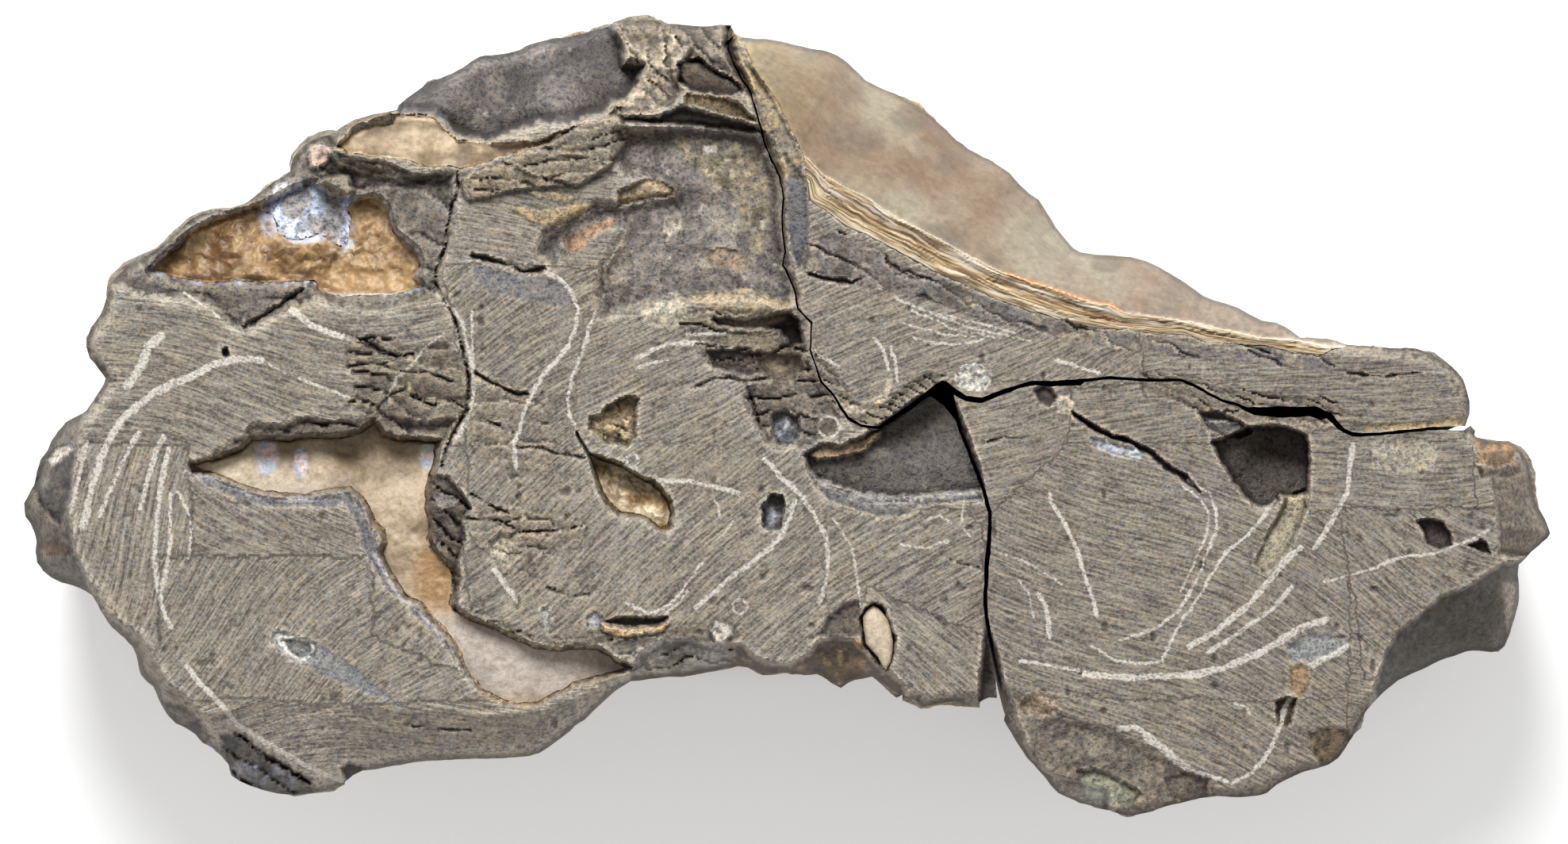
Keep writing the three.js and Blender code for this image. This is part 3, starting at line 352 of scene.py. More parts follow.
            (452, 634), (466, 668), (474, 690), (494, 730), (524, 764), (556, 792), (570, 822), (600, 864),
            (586, 852), (556, 806), (520, 772), (486, 738), (462, 694), (452, 664), (434, 634), (400, 638),
            (358, 640), (310, 632), (262, 612)],
        "spots": [(340, 630, 0.35), (470, 700, 0.35)], "unevenMm": 0.06, "colour": (134, 132, 132),
            "stroke": 0.2},
    "pearlyHollow": {
        "outline": [(240, 583), (269, 577), (302, 566), (318, 551), (358, 553), (390, 548), (430, 548),
            (454, 543), (472, 531), (484, 547), (502, 551), (527, 551), (557, 555), (552, 575), (545, 598),
            (539, 619), (539, 640), (545, 659), (541, 678), (548, 692), (563, 707), (575, 716), (576, 737),
            (573, 761), (581, 770), (593, 779), (623, 791), (650, 803), (677, 814), (701, 818), (731, 815),
            (755, 818), (777, 833), (800, 843), (786, 848), (749, 858), (725, 862), (701, 877), (680, 887),
            (659, 890), (641, 889), (620, 879), (608, 870), (593, 855), (581, 840), (578, 824), (566, 806),
            (545, 783), (530, 764), (511, 755), (502, 740), (487, 713), (478, 695), (484, 686), (481, 671),
            (472, 665), (463, 646), (454, 628), (439, 617), (400, 622), (377, 628), (358, 623), (331, 620),
            (310, 614), (291, 607), (269, 599), (242, 596)],
        "wallMm": 0.35, "spots": [(300, 600, 1.4), (340, 560, 3.4), (440, 560, 3.8), (430, 605, 1.6),
            (530, 580, 3.0), (510, 650, 2.0), (550, 740, 2.2), (600, 830, 1.0), (650, 870, 1.2),
            (700, 840, 1.8), (780, 842, 2.6)], "unevenMm": 0.12, "grainMm": 1.2, "colour": (150, 130, 104),
            "rough": 0.5},
    "brokenLeft": {
        "outline": [(438, 428), (470, 420), (520, 440), (560, 430), (584, 450), (596, 490), (588, 530),
            (560, 560), (530, 548), (486, 540), (474, 522), (440, 512), (452, 480), (436, 456)],
        "wallMm": 0.5, "spots": [(520, 480, 0.15), (540, 530, 0.5)], "unevenMm": 0.3, "grainMm": 1.1,
            "colour": (114, 106, 94), "stroke": 0.35, "rough": 0.8,
            "blotches": [((84, 77, 68), 1.2, -0.12)], "slabs": (74, 1.25, 0.45)},
    "brokenMiddle": {
        "outline": [(596, 470), (640, 480), (676, 500), (700, 560), (690, 600), (640, 600), (600, 570),
            (592, 520)],
        "wallMm": 0.5, "spots": [(640, 530, 0.1)], "grainMm": 1.1, "colour": (122, 114, 103), "stroke": 0.6,
            "rough": 0.8, "slabs": (82, 1.4, 0.28)},
    "brokenBand": {
        "outline": [(1016, 300), (1060, 290), (1130, 330), (1240, 374), (1400, 420), (1560, 440),
            (1690, 452), (1680, 470), (1540, 452), (1400, 440), (1240, 400), (1120, 366), (1040, 350),
            (1010, 330)],
        "wallMm": 0.5, "spots": [(1060, 320, 0.2), (1400, 430, 0.1)], "unevenMm": 0.2, "grainMm": 1.1,
            "colour": (108, 103, 98), "stroke": 0.3, "rough": 0.75,
            "blotches": [((140, 130, 116), 0.9, -0.15), ((80, 74, 68), 1.2, -0.15)],
            "slabs": (66, 1.5, 0.25)},
    "lowerRubble": {
        "outline": [(596, 640), (640, 636), (700, 652), (740, 660), (730, 690), (680, 694), (640, 700),
            (600, 690), (588, 664)],
        "wallMm": 0.6, "spots": [(640, 670, 0.05)], "grainMm": 0.9, "colour": (120, 112, 101),
            "stroke": 0.7, "rough": 0.8, "slabs": (96, 0.9, 0.2)},
    "ledgeRubble": {
        "outline": [(590, 770), (640, 786), (680, 806), (740, 800), (800, 790), (880, 790), (905, 812),
            (860, 830), (800, 846), (770, 826), (735, 812), (700, 814), (650, 800), (600, 782)],
        "wallMm": 0.5, "spots": [(700, 805, 0.2)], "unevenMm": 0.3, "grainMm": 0.8, "colour": (106, 98, 87),
            "stroke": 0.2, "rough": 0.75, "slabs": (100, 0.8, 0.35)},
    "noseLayers": {
        "outline": [(1030, 440), (1060, 480), (1086, 512), (1112, 512), (1146, 486), (1172, 470),
            (1190, 474), (1166, 500), (1140, 520), (1108, 540), (1080, 540), (1050, 508), (1026, 470)],
        "wallMm": 0.5, "spots": [(1100, 520, 0.4)], "unevenMm": 0.2, "grainMm": 0.8,
            "colour": (116, 109, 98), "stroke": 0.2, "rough": 0.75, "slabs": (62, 0.55, 0.25)},
    "rightLedge": {
        "outline": [(1440, 470), (1500, 474), (1560, 490), (1600, 498), (1680, 500), (1700, 520),
            (1660, 540), (1600, 536), (1568, 534), (1530, 528), (1480, 504), (1440, 492)],
        "wallMm": 0.5, "spots": [(1560, 510, 0.3)], "unevenMm": 0.2, "grainMm": 0.9,
            "colour": (112, 104, 93), "stroke": 0.4, "rough": 0.75, "slabs": (70, 0.8, 0.3)},
    "leftMarginSteps": {
        "outline": [(541, 600), (563, 601), (581, 619), (593, 640), (581, 653), (584, 680), (578, 707),
            (581, 731), (578, 755), (576, 770), (573, 740), (574, 716), (548, 692), (541, 680), (545, 659),
            (539, 630)],
        "spots": [(560, 618, 0.6), (556, 630, 0.4), (570, 650, 1.2), (565, 690, 1.3), (578, 740, 1.2)],
            "unevenMm": 0.25, "grainMm": 0.6, "colour": (84, 78, 70), "stroke": 0.1, "rough": 0.75,
            "slabs": (60, 1.1, 0.5)},
    "greyFacet": {
        "outline": [(545, 626), (558, 621), (572, 628), (570, 638), (556, 643), (546, 636)],
        "wallMm": 0.2, "spots": [(558, 632, -0.3)], "unevenMm": 0.05, "colour": (128, 124, 116)},
    "centralPit": {
        "outline": [(728, 544), (740, 571), (762, 577), (783, 586), (801, 598), (822, 607), (834, 616),
            (846, 631), (849, 647), (846, 665), (837, 668), (828, 665), (816, 656), (798, 650), (780, 650),
            (768, 637), (758, 622), (752, 607), (746, 586)],
        "spots": [(745, 570, 2.6), (800, 610, 2.8), (830, 655, 1.4), (765, 620, 1.6)],
            "colour": (110, 90, 62)},
    "smallPit": {
        "outline": [(765, 512), (779, 504), (791, 500), (804, 503), (802, 530), (800, 552), (788, 562),
            (762, 556), (744, 541), (745, 526), (760, 523)],
        "wallMm": 0.25, "spots": [(775, 512, 1.6), (750, 535, 0.5), (790, 550, 1.2)], "unevenMm": 0.25,
            "colour": (132, 116, 92), "blotches": [((172, 156, 128), 0.6, -0.02),
            ((72, 64, 55), 0.5, -0.2)], "slabs": (62, 0.5, 0.3)},
    "pitFlake": {
        "outline": [(747, 527), (779, 520), (790, 504), (800, 502), (801, 520), (779, 534), (759, 540)],
        "wallMm": 0.2, "spots": [(775, 525, 0.1)], "unevenMm": 0.08, "colour": (172, 152, 122),
            "rough": 0.55},
    "roundPit": {
        "outline": [(960, 638), (973, 624), (989, 623), (992, 638), (984, 664), (976, 668), (963, 665)],
        "wallMm": 0.2, "spots": [(976, 645, 1.2)], "grainMm": 0.4, "colour": (84, 82, 84), "rough": 0.5,
            "blotches": [((156, 158, 164), 0.5, -0.05)]},
    "roughCentre": {
        "outline": [(852, 398), (893, 392), (1000, 392), (1018, 410), (1018, 445), (1032, 484), (1050, 505),
            (1060, 524), (1050, 545), (1020, 560), (985, 565), (966, 555), (950, 530), (940, 500),
            (948, 482), (910, 470), (890, 450), (870, 420)],
        "wallMm": 0.7, "spots": [(930, 420, 0.5), (990, 500, 1.0), (1030, 535, 1.2), (880, 410, 0.1)],
            "unevenMm": 0.3, "grainMm": 1.1, "colour": (106, 99, 90), "stroke": 0.1, "rough": 0.65,
            "blotches": [((150, 140, 122), 0.8, -0.1), ((66, 61, 57), 0.8, -0.15)], "slabs": (88, 1.2, 0.45)},
    # ledgeGap's near-black colour is painted shade in the gap at the foot of the ledge.
    "ledgeGap": {
        "outline": [(900, 400), (940, 403), (995, 394), (1010, 405), (1012, 432), (996, 434), (986, 416),
            (925, 413), (906, 408)],
        "wallMm": 0.25, "spots": [(1000, 422, 1.8), (940, 404, 0.7)], "unevenMm": 0.2, "grainMm": 0.6,
            "colour": (58, 52, 46), "rough": 0.8},
    "underLedge": {
        "outline": [(893, 441), (940, 440), (975, 443), (1006, 448), (1010, 462), (990, 478), (961, 471),
            (930, 470), (900, 462)],
        "wallMm": 0.5, "spots": [(930, 455, 0.9), (985, 460, 0.5)], "unevenMm": 0.12, "grainMm": 0.6,
            "colour": (80, 74, 68), "rough": 0.45, "slabs": (92, 0.5, 0.2)},
    "ledgeChipA": {
        "outline": [(906, 400), (998, 393), (990, 404), (964, 416), (920, 416), (904, 408)],
        "wallMm": 0.2, "spots": [(950, 405, -0.1)], "grainMm": 0.6, "colour": (120, 111, 98), "stroke": 0.3,
            "rough": 0.7},
    "ledgeChipB": {
        "outline": [(893, 424), (930, 421), (984, 420), (982, 430), (973, 441), (940, 438), (906, 438)],
        "wallMm": 0.2, "spots": [(940, 430, 0.0)], "grainMm": 0.6, "colour": (116, 107, 94), "stroke": 0.3,
            "rough": 0.7},
    "shellLens": {
        "outline": [(854, 373), (877, 373), (906, 370), (935, 364), (947, 364), (970, 373), (1001, 384),
            (993, 391), (964, 394), (929, 397), (906, 393), (877, 382)],
        "wallMm": 0.2, "spots": [(930, 382, -0.05)], "grainMm": 0.6, "colour": (138, 125, 106),
            "stroke": 0.1},
    "beigeSmooth": {
        "outline": [(958, 450), (980, 446), (1008, 449), (1012, 465), (1000, 478), (975, 476), (960, 466)],
        "wallMm": 0.25, "spots": [(985, 462, 0.5)], "unevenMm": 0.1, "grainMm": 0.6,
            "colour": (142, 132, 116), "rough": 0.55},
    "crumbledShell": {
        "outline": [(806, 385), (822, 376), (850, 373), (866, 382), (860, 400), (840, 410), (816, 406)],
        "spots": [(835, 392, 0.2)], "unevenMm": 0.25, "grainMm": 0.35, "colour": (158, 149, 133),
            "rough": 0.7},
    "glossyCrystals": {
        "outline": [(972, 523), (986, 518), (1006, 526), (1010, 545), (1000, 562), (982, 560), (973, 545)],
        "spots": [(990, 540, 0.6)], "unevenMm": 0.3, "grainMm": 0.4, "colour": (92, 92, 96), "rough": 0.25,
            "blotches": [((166, 168, 172), 0.5, -0.05)]},
    "chipByNose": {
        "outline": [(993, 500), (1012, 494), (1037, 512), (1034, 526), (1018, 526), (1000, 514)],
        "wallMm": 0.25, "spots": [(1015, 510, -0.2)], "colour": (114, 106, 96), "rough": 0.65},
    "smoothRecess": {
        "outline": [(1014, 574), (1037, 560), (1061, 563), (1083, 553), (1108, 538), (1130, 522),
            (1160, 500), (1190, 488), (1212, 528), (1226, 565), (1237, 598), (1240, 616), (1206, 620),
            (1163, 623), (1132, 625), (1083, 618), (1061, 611), (1031, 601), (1020, 588)],
        "wallMm": 0.35, "spots": [(1150, 530, 3.4), (1050, 585, 1.8), (1190, 600, 2.2), (1110, 600, 2.0)],
            "unevenMm": 0.14, "grainMm": 1.2, "colour": (80, 76, 73), "rough": 0.45,
            "blotches": [((116, 112, 106), 1.2, -0.15), ((60, 57, 55), 1.0, -0.15)]},
    "recessBevel": {
        "outline": [(1018, 588), (1040, 605), (1071, 617), (1132, 625), (1234, 618), (1240, 630),
            (1160, 637), (1137, 648), (1108, 648), (1071, 638), (1043, 626), (1028, 612)],
        "spots": [(1040, 612, 0.7), (1110, 636, 0.7), (1200, 628, 0.5)], "unevenMm": 0.16, "grainMm": 0.6,
            "colour": (124, 122, 118), "stroke": 0.15, "rough": 0.5, "slabs": (88, 0.9, 0.12)},
    "recessSliver": {
        "outline": [(1018, 574), (1037, 561), (1061, 563), (1083, 555), (1112, 540), (1108, 552),
            (1092, 568), (1061, 577), (1030, 580)],
        "wallMm": 0.25, "spots": [(1060, 568, -1.0)], "unevenMm": 0.25, "grainMm": 0.6,
            "colour": (126, 108, 86)},
    "whiteCrystals": {
        "outline": [(1204, 472), (1212, 462), (1230, 459), (1246, 466), (1250, 480), (1240, 492),
            (1222, 494), (1208, 486)],
        "spots": [(1226, 477, 0.2)], "unevenMm": 0.3, "grainMm": 0.35, "colour": (176, 174, 166),
            "rough": 0.5},
    "lensInclusion": {
        "outline": [(1512, 521), (1535, 519), (1562, 530), (1578, 545), (1560, 552), (1540, 549),
            (1522, 538)],
        "wallMm": 0.25, "spots": [(1545, 538, 0.9)], "unevenMm": 0.08, "colour": (84, 82, 78), "rough": 0.5},
    # rightCavity's dark colour and its darkest blotches are painted shade inside the hollow.
    "rightCavity": {
        "outline": [(1530, 558), (1552, 548), (1575, 537), (1615, 537), (1645, 549), (1650, 585),
            (1649, 622), (1635, 626), (1613, 622), (1603, 636), (1581, 634), (1567, 622), (1547, 597)],
        "spots": [(1620, 560, 4.4), (1600, 610, 3.4), (1550, 570, 2.4)], "grainMm": 0.9,
            "colour": (76, 71, 66), "rough": 0.5, "blotches": [((100, 94, 86), 1.0, -0.1),
            ((46, 42, 39), 1.0, -0.12)]},
    "oliveShell": {
        "outline": [(1622, 625), (1647, 618), (1647, 641), (1638, 664), (1626, 690), (1606, 713),
            (1592, 721), (1583, 710), (1598, 675), (1615, 638)],
        "wallMm": 0.25, "spots": [(1630, 645, 0.9), (1600, 700, 0.4)], "unevenMm": 0.06, "grainMm": 0.8,
            "colour": (148, 139, 120), "rough": 0.4},
    # secondCrack's near-black colour is painted shade inside the crack.
    "secondCrack": {
        "outline": [(1350, 518), (1377, 531), (1400, 546), (1427, 555), (1456, 572), (1476, 587),
            (1500, 603), (1514, 622), (1500, 612), (1474, 592), (1454, 579), (1427, 560), (1400, 551),
            (1375, 537), (1354, 524)],
        "wallMm": 0.2, "spots": [(1377, 534, 1.3), (1480, 595, 0.8)], "unevenMm": 0.1,
            "colour": (52, 47, 42), "rough": 0.8},
    "crackCrystals": {
        "outline": [(1377, 552), (1392, 554), (1412, 562), (1436, 566), (1440, 576), (1420, 577),
            (1398, 570), (1380, 562)],
        "wallMm": 0.25, "spots": [(1405, 566, 0.3)], "grainMm": 0.3, "colour": (176, 180, 184), "rough": 0.4},
    "squareHole": {
        "outline": [(1303, 490), (1314, 485), (1326, 491), (1331, 502), (1322, 511), (1310, 505)],
        "spots": [(1316, 498, 0.7)], "unevenMm": 0.1, "grainMm": 0.4, "colour": (74, 68, 60), "rough": 0.7},
    "lightChip": {
        "outline": [(1330, 500), (1348, 499), (1354, 510), (1348, 523), (1332, 522)],
        "wallMm": 0.2, "spots": [(1342, 512, -0.1)], "unevenMm": 0.1, "grainMm": 0.4,
            "colour": (160, 150, 134), "stroke": 0.1, "rough": 0.7},
    "hexagonPit": {
        "outline": [(1788, 658), (1808, 654), (1820, 658), (1827, 670), (1831, 687), (1814, 690),
            (1802, 684), (1797, 670)],
        "wallMm": 0.2, "spots": [(1810, 670, 1.2)], "unevenMm": 0.1, "colour": (76, 70, 64)},
    "sideNotch": {
        "outline": [(1851, 687), (1866, 678), (1874, 684), (1880, 698), (1866, 694)],
        "wallMm": 0.2, "spots": [(1866, 688, 1.0)], "unevenMm": 0.1, "colour": (72, 64, 54)},
    "crumblyWhite": {
        "outline": [(1728, 556), (1765, 553), (1812, 560), (1810, 590), (1775, 597), (1735, 590)],
        "wallMm": 0.6, "spots": [(1770, 575, 0.15)], "unevenMm": 0.16, "grainMm": 0.35,
            "colour": (150, 142, 128), "stroke": 0.1, "rough": 0.75},
    "orangeTop": {
        "outline": [(1858, 545), (1890, 545), (1912, 560), (1910, 582), (1888, 590), (1864, 582)],
        "wallMm": 0.4, "spots": [(1885, 570, 0.5)], "unevenMm": 0.3, "grainMm": 0.7,
            "colour": (134, 106, 74), "rough": 0.7, "blotches": [((88, 72, 54), 0.8, -0.1)]},
    "darkUnderOrange": {
        "outline": [(1862, 588), (1880, 594), (1896, 590), (1914, 586), (1917, 594), (1902, 602),
            (1884, 600), (1868, 603)],
        "spots": [(1890, 597, 0.3)], "unevenMm": 0.2, "grainMm": 0.6, "colour": (96, 86, 74), "rough": 0.75},
    "facetStrip": {
        "outline": [(1893, 735), (1920, 735), (1918, 800), (1900, 802)],
        "wallMm": 0.4, "unevenMm": 0.1, "grainMm": 0.6, "colour": (132, 124, 112), "rough": 0.7},
    "lobeFoot": {
        "outline": [(1255, 862), (1290, 880), (1338, 905), (1380, 915), (1409, 925), (1450, 950),
            (1500, 972), (1530, 990), (1530, 1040), (1380, 1070), (1270, 1000), (1240, 900)],
        "wallMm": 1.0, "spots": [(1300, 950, 0.7), (1400, 980, 0.8), (1480, 1000, 0.6)], "unevenMm": 0.3,
            "grainMm": 1.0, "colour": (106, 99, 89), "stroke": 0.15, "rough": 0.75,
            "blotches": [((130, 121, 108), 1.0, -0.15), ((80, 74, 67), 0.9, -0.15)]},
    "greyGreenPatch": {
        "outline": [(1358, 971), (1379, 969), (1396, 975), (1420, 987), (1440, 1002), (1429, 1014),
            (1399, 1014), (1367, 1005)],
        "spots": [(1400, 992, 0.45)], "unevenMm": 0.1, "grainMm": 0.6, "colour": (122, 122, 106),
            "rough": 0.5},
    "pinkOval": {
        "outline": [(1288, 890), (1296, 878), (1312, 874), (1330, 880), (1336, 892), (1326, 902),
            (1308, 905), (1294, 900)],
        "spots": [(1311, 890, 0.2)], "unevenMm": 0.1, "colour": (158, 138, 120)},
    "brownPit": {
        "outline": [(1609, 884), (1622, 879), (1634, 881), (1628, 912), (1612, 918)],
        "wallMm": 0.25, "spots": [(1620, 898, 0.9)], "colour": (84, 66, 48)},
    "tanPatch": {
        "outline": [(1626, 846), (1640, 838), (1653, 842), (1650, 862), (1640, 880), (1628, 876)],
        "spots": [(1640, 858, 0.2)], "colour": (140, 118, 92)},
    "greyBluePatch": {
        "outline": [(1622, 818), (1640, 804), (1670, 798), (1694, 804), (1686, 820), (1655, 832),
            (1630, 832)],
        "wallMm": 0.4, "spots": [(1655, 816, 0.2)], "grainMm": 0.4, "colour": (134, 134, 132), "stroke": 0.1},
    "brownLobes": {
        "outline": [(1650, 925), (1672, 916), (1700, 919), (1706, 938), (1690, 958), (1668, 966),
            (1652, 950)],
        "wallMm": 0.4, "spots": [(1680, 942, 0.35)], "unevenMm": 0.35, "grainMm": 0.8,
            "colour": (96, 83, 68), "rough": 0.75},
    "smallStep": {
        "outline": [(1470, 982), (1494, 976), (1523, 980), (1522, 1004), (1500, 1012), (1474, 1004)],
        "spots": [(1496, 993, 0.25)], "unevenMm": 0.2, "grainMm": 0.6, "colour": (96, 88, 78),
            "stroke": 0.1, "rough": 0.7},
    "flakeRoom": {
        "outline": [(1086, 779), (1091, 768), (1101, 760), (1110, 765), (1118, 776), (1126, 792),
            (1129, 808), (1128, 826), (1121, 847), (1111, 842), (1100, 826), (1089, 815)],
        "wallMm": 0.25, "spots": [(1105, 800, 1.7)], "unevenMm": 0.1, "grainMm": 0.6,
            "colour": (98, 89, 77), "rough": 0.75},
    "darkByFlake": {
        "outline": [(1034, 802), (1044, 778), (1062, 762), (1084, 758), (1087, 778), (1084, 800),
            (1060, 808)],
        "wallMm": 0.5, "spots": [(1064, 786, 0.5)], "unevenMm": 0.2, "grainMm": 0.8, "colour": (86, 80, 72),
            "stroke": 0.1, "rough": 0.7},
    "tanLamina": {
        "outline": [(1716, 536), (1780, 532), (1846, 526), (1849, 536), (1790, 541), (1720, 544)],
        "spots": [(1790, 538, 0.2)], "unevenMm": 0.1, "colour": (160, 142, 112), "stroke": 0.1,
            "rough": 0.65},
    "lowerNotch": {
        "outline": [(428, 968), (440, 961), (455, 966), (452, 984), (436, 990)],
        "spots": [(441, 975, 0.8)], "unevenMm": 0.1, "grainMm": 0.6, "colour": (78, 70, 62), "rough": 0.75},
    "undersideA": {
        "outline": [(208, 886), (236, 894), (254, 908), (270, 930), (252, 944), (222, 922)],
        "wallMm": 0.5, "spots": [(238, 914, 0.6)], "unevenMm": 0.3, "grainMm": 0.8, "colour": (76, 70, 64),
            "rough": 0.7, "slabs": (60, 1.0, 0.3)},
    "undersideB": {
        "outline": [(276, 928), (298, 922), (328, 944), (362, 962), (392, 984), (396, 1002), (340, 1004),
            (296, 984), (284, 956)],
        "wallMm": 0.5, "spots": [(330, 970, 0.7)], "unevenMm": 0.3, "grainMm": 0.9, "colour": (80, 76, 72),
            "slabs": (60, 1.2, 0.3), "blotches": [((104, 106, 114), 0.8, -0.2)]},
    "noseFacet": {
        "outline": [(986, 190), (1004, 210), (1017, 232), (1020, 262), (1018, 300), (1008, 334), (998, 322),
            (995, 273), (992, 222)],
        "wallMm": 0.4, "spots": [(1006, 260, 0.3)], "unevenMm": 0.12, "grainMm": 0.8,
            "colour": (88, 87, 88), "stroke": 0.1, "rough": 0.5},
    "noseTip": {
        "outline": [(914, 20), (936, 36), (950, 84), (982, 136), (1010, 194), (1012, 226), (984, 226),
            (972, 202), (962, 176), (955, 147), (946, 118), (925, 84), (914, 60)],
        "wallMm": 0.4, "spots": [(924, 44, 5.0), (942, 90, 2.8), (964, 155, 1.0), (988, 212, 0.1)],
            "unevenMm": 0.2, "grainMm": 0.7, "colour": (114, 105, 92), "stroke": 0.15, "rough": 0.7,
            "blotches": [((144, 130, 104), 0.8, -0.05), ((84, 78, 70), 0.7, -0.2)]},
    "brownSpots": {
        "outline": [(925, 832), (960, 842), (1000, 842), (1030, 830), (1060, 812), (1086, 806), (1094, 830),
            (1088, 850), (1060, 862), (1030, 850), (975, 850), (930, 845)],
        "wallMm": 0.4, "unevenMm": 0.4, "grainMm": 0.9, "colour": (118, 98, 74), "rough": 0.7,
            "blotches": [((72, 58, 42), 0.8, -0.05), ((150, 128, 96), 0.7, -0.25)]},
    "greyBand": {
        "outline": [(680, 812), (731, 812), (790, 808), (860, 800), (930, 818), (920, 838), (860, 848),
            (800, 852), (760, 822)],
        "wallMm": 0.4, "unevenMm": 0.35, "grainMm": 1.0, "colour": (120, 116, 108),
            "blotches": [((90, 84, 76), 1.2, -0.1), ((150, 142, 130), 0.8, -0.25)], "slabs": (98, 1.0, 0.35)},
    # underLensVoid's dark colour is painted shade in the void under the lens.
    "underLensVoid": {
        "outline": [(764, 784), (776, 779), (800, 778), (826, 779), (842, 777), (838, 783), (820, 788),
            (796, 790), (776, 788)],
        "wallMm": 0.25, "spots": [(795, 780, 0.8)], "unevenMm": 0.1, "colour": (72, 65, 58), "rough": 0.7},
    "brownLens": {
        "outline": [(757, 784), (766, 789), (784, 793), (804, 794), (824, 791), (843, 784), (838, 792),
            (820, 799), (798, 803), (776, 801), (762, 796)],
        "wallMm": 0.2, "spots": [(795, 791, -0.5)], "unevenMm": 0.2, "colour": (158, 138, 108), "rough": 0.5},
    "whiteSnail": {
        "outline": [(896, 796), (902, 785), (913, 783), (925, 790), (926, 802), (916, 811), (903, 810)],
        "wallMm": 0.25, "spots": [(912, 797, -0.6)], "unevenMm": 0.3, "grainMm": 0.3,
            "colour": (156, 150, 142), "rough": 0.5},
    "paleCrystalA": {
        "outline": [(684, 766), (692, 764), (695, 780), (690, 797), (683, 790)],
        "wallMm": 0.2, "spots": [(689, 780, 0.2)], "grainMm": 0.3, "colour": (188, 186, 178), "rough": 0.4},
    "paleCrystalB": {
        "outline": [(738, 776), (752, 772), (760, 780), (754, 790), (741, 791)],
        "wallMm": 0.2, "spots": [(748, 782, 0.3)], "grainMm": 0.3, "colour": (182, 182, 184), "rough": 0.4},
    "paleSpot": {
        "outline": [(616, 684), (630, 674), (646, 678), (652, 694), (642, 710), (624, 712), (614, 700)],
        "wallMm": 0.4, "spots": [(634, 693, 0.25)], "unevenMm": 0.25, "grainMm": 0.35,
            "colour": (158, 150, 134), "rough": 0.7},
    "ovalCrystal": {
        "outline": [(342, 801), (349, 795), (368, 798), (388, 806), (400, 812), (399, 826), (390, 835),
            (380, 838), (366, 829), (350, 819), (343, 812)],
        "wallMm": 0.2, "spots": [(370, 815, 0.25)], "unevenMm": 0.06, "colour": (186, 186, 180),
            "rough": 0.35},
    "ovalCore": {
        "outline": [(356, 806), (372, 804), (390, 812), (394, 822), (382, 830), (368, 824)],
        "wallMm": 0.2, "spots": [(376, 816, 0.3)], "unevenMm": 0.08, "grainMm": 0.4,
            "colour": (132, 134, 132), "rough": 0.3},
    "ovalTail": {
        "outline": [(400, 812), (425, 824), (450, 843), (484, 872), (507, 892), (481, 880), (459, 871),
            (433, 864), (411, 853), (388, 840)],
        "spots": [(440, 850, 0.1)], "unevenMm": 0.04, "colour": (120, 121, 121), "stroke": 0.45,
            "rough": 0.5},
    "leftPit": {
        "outline": [(280, 441), (286, 440), (290, 445), (287, 450), (281, 449)],
        "wallMm": 0.15, "spots": [(285, 445, 0.8)], "unevenMm": 0.0, "colour": (50, 45, 40), "rough": 0.7},
    "boneBox": {
        "outline": [(44, 612), (56, 580), (80, 560), (96, 562), (90, 600), (84, 640), (76, 662), (62, 652),
            (48, 634)],
        "spots": [(68, 612, 0.8)], "unevenMm": 0.3, "grainMm": 0.7, "colour": (74, 70, 66),
            "blotches": [((112, 106, 98), 0.8, -0.1)]},
    "boneShape": {
        "outline": [(60, 582), (72, 568), (92, 560), (96, 564), (80, 578), (66, 588)],
        "wallMm": 0.25, "spots": [(76, 573, -0.4)], "unevenMm": 0.05, "colour": (176, 170, 158),
            "rough": 0.5},
    "leftBrownSpot": {
        "outline": [(48, 688), (66, 683), (90, 688), (86, 698), (62, 700)],
        "unevenMm": 0.1, "grainMm": 0.6, "colour": (80, 62, 48), "rough": 0.7},
    "whiteOnFlankEdge": {
        "outline": [(1052, 494), (1065, 509), (1089, 509), (1111, 495), (1118, 475), (1124, 480),
            (1118, 502), (1096, 520), (1066, 520), (1050, 502)],
        "wallMm": 0.25, "unevenMm": 0.06, "grainMm": 0.4, "colour": (172, 160, 142), "stroke": 0.3,
            "rough": 0.65},
}
patches = {name: {**usualPatch, **patch} for name, patch in patches.items()}

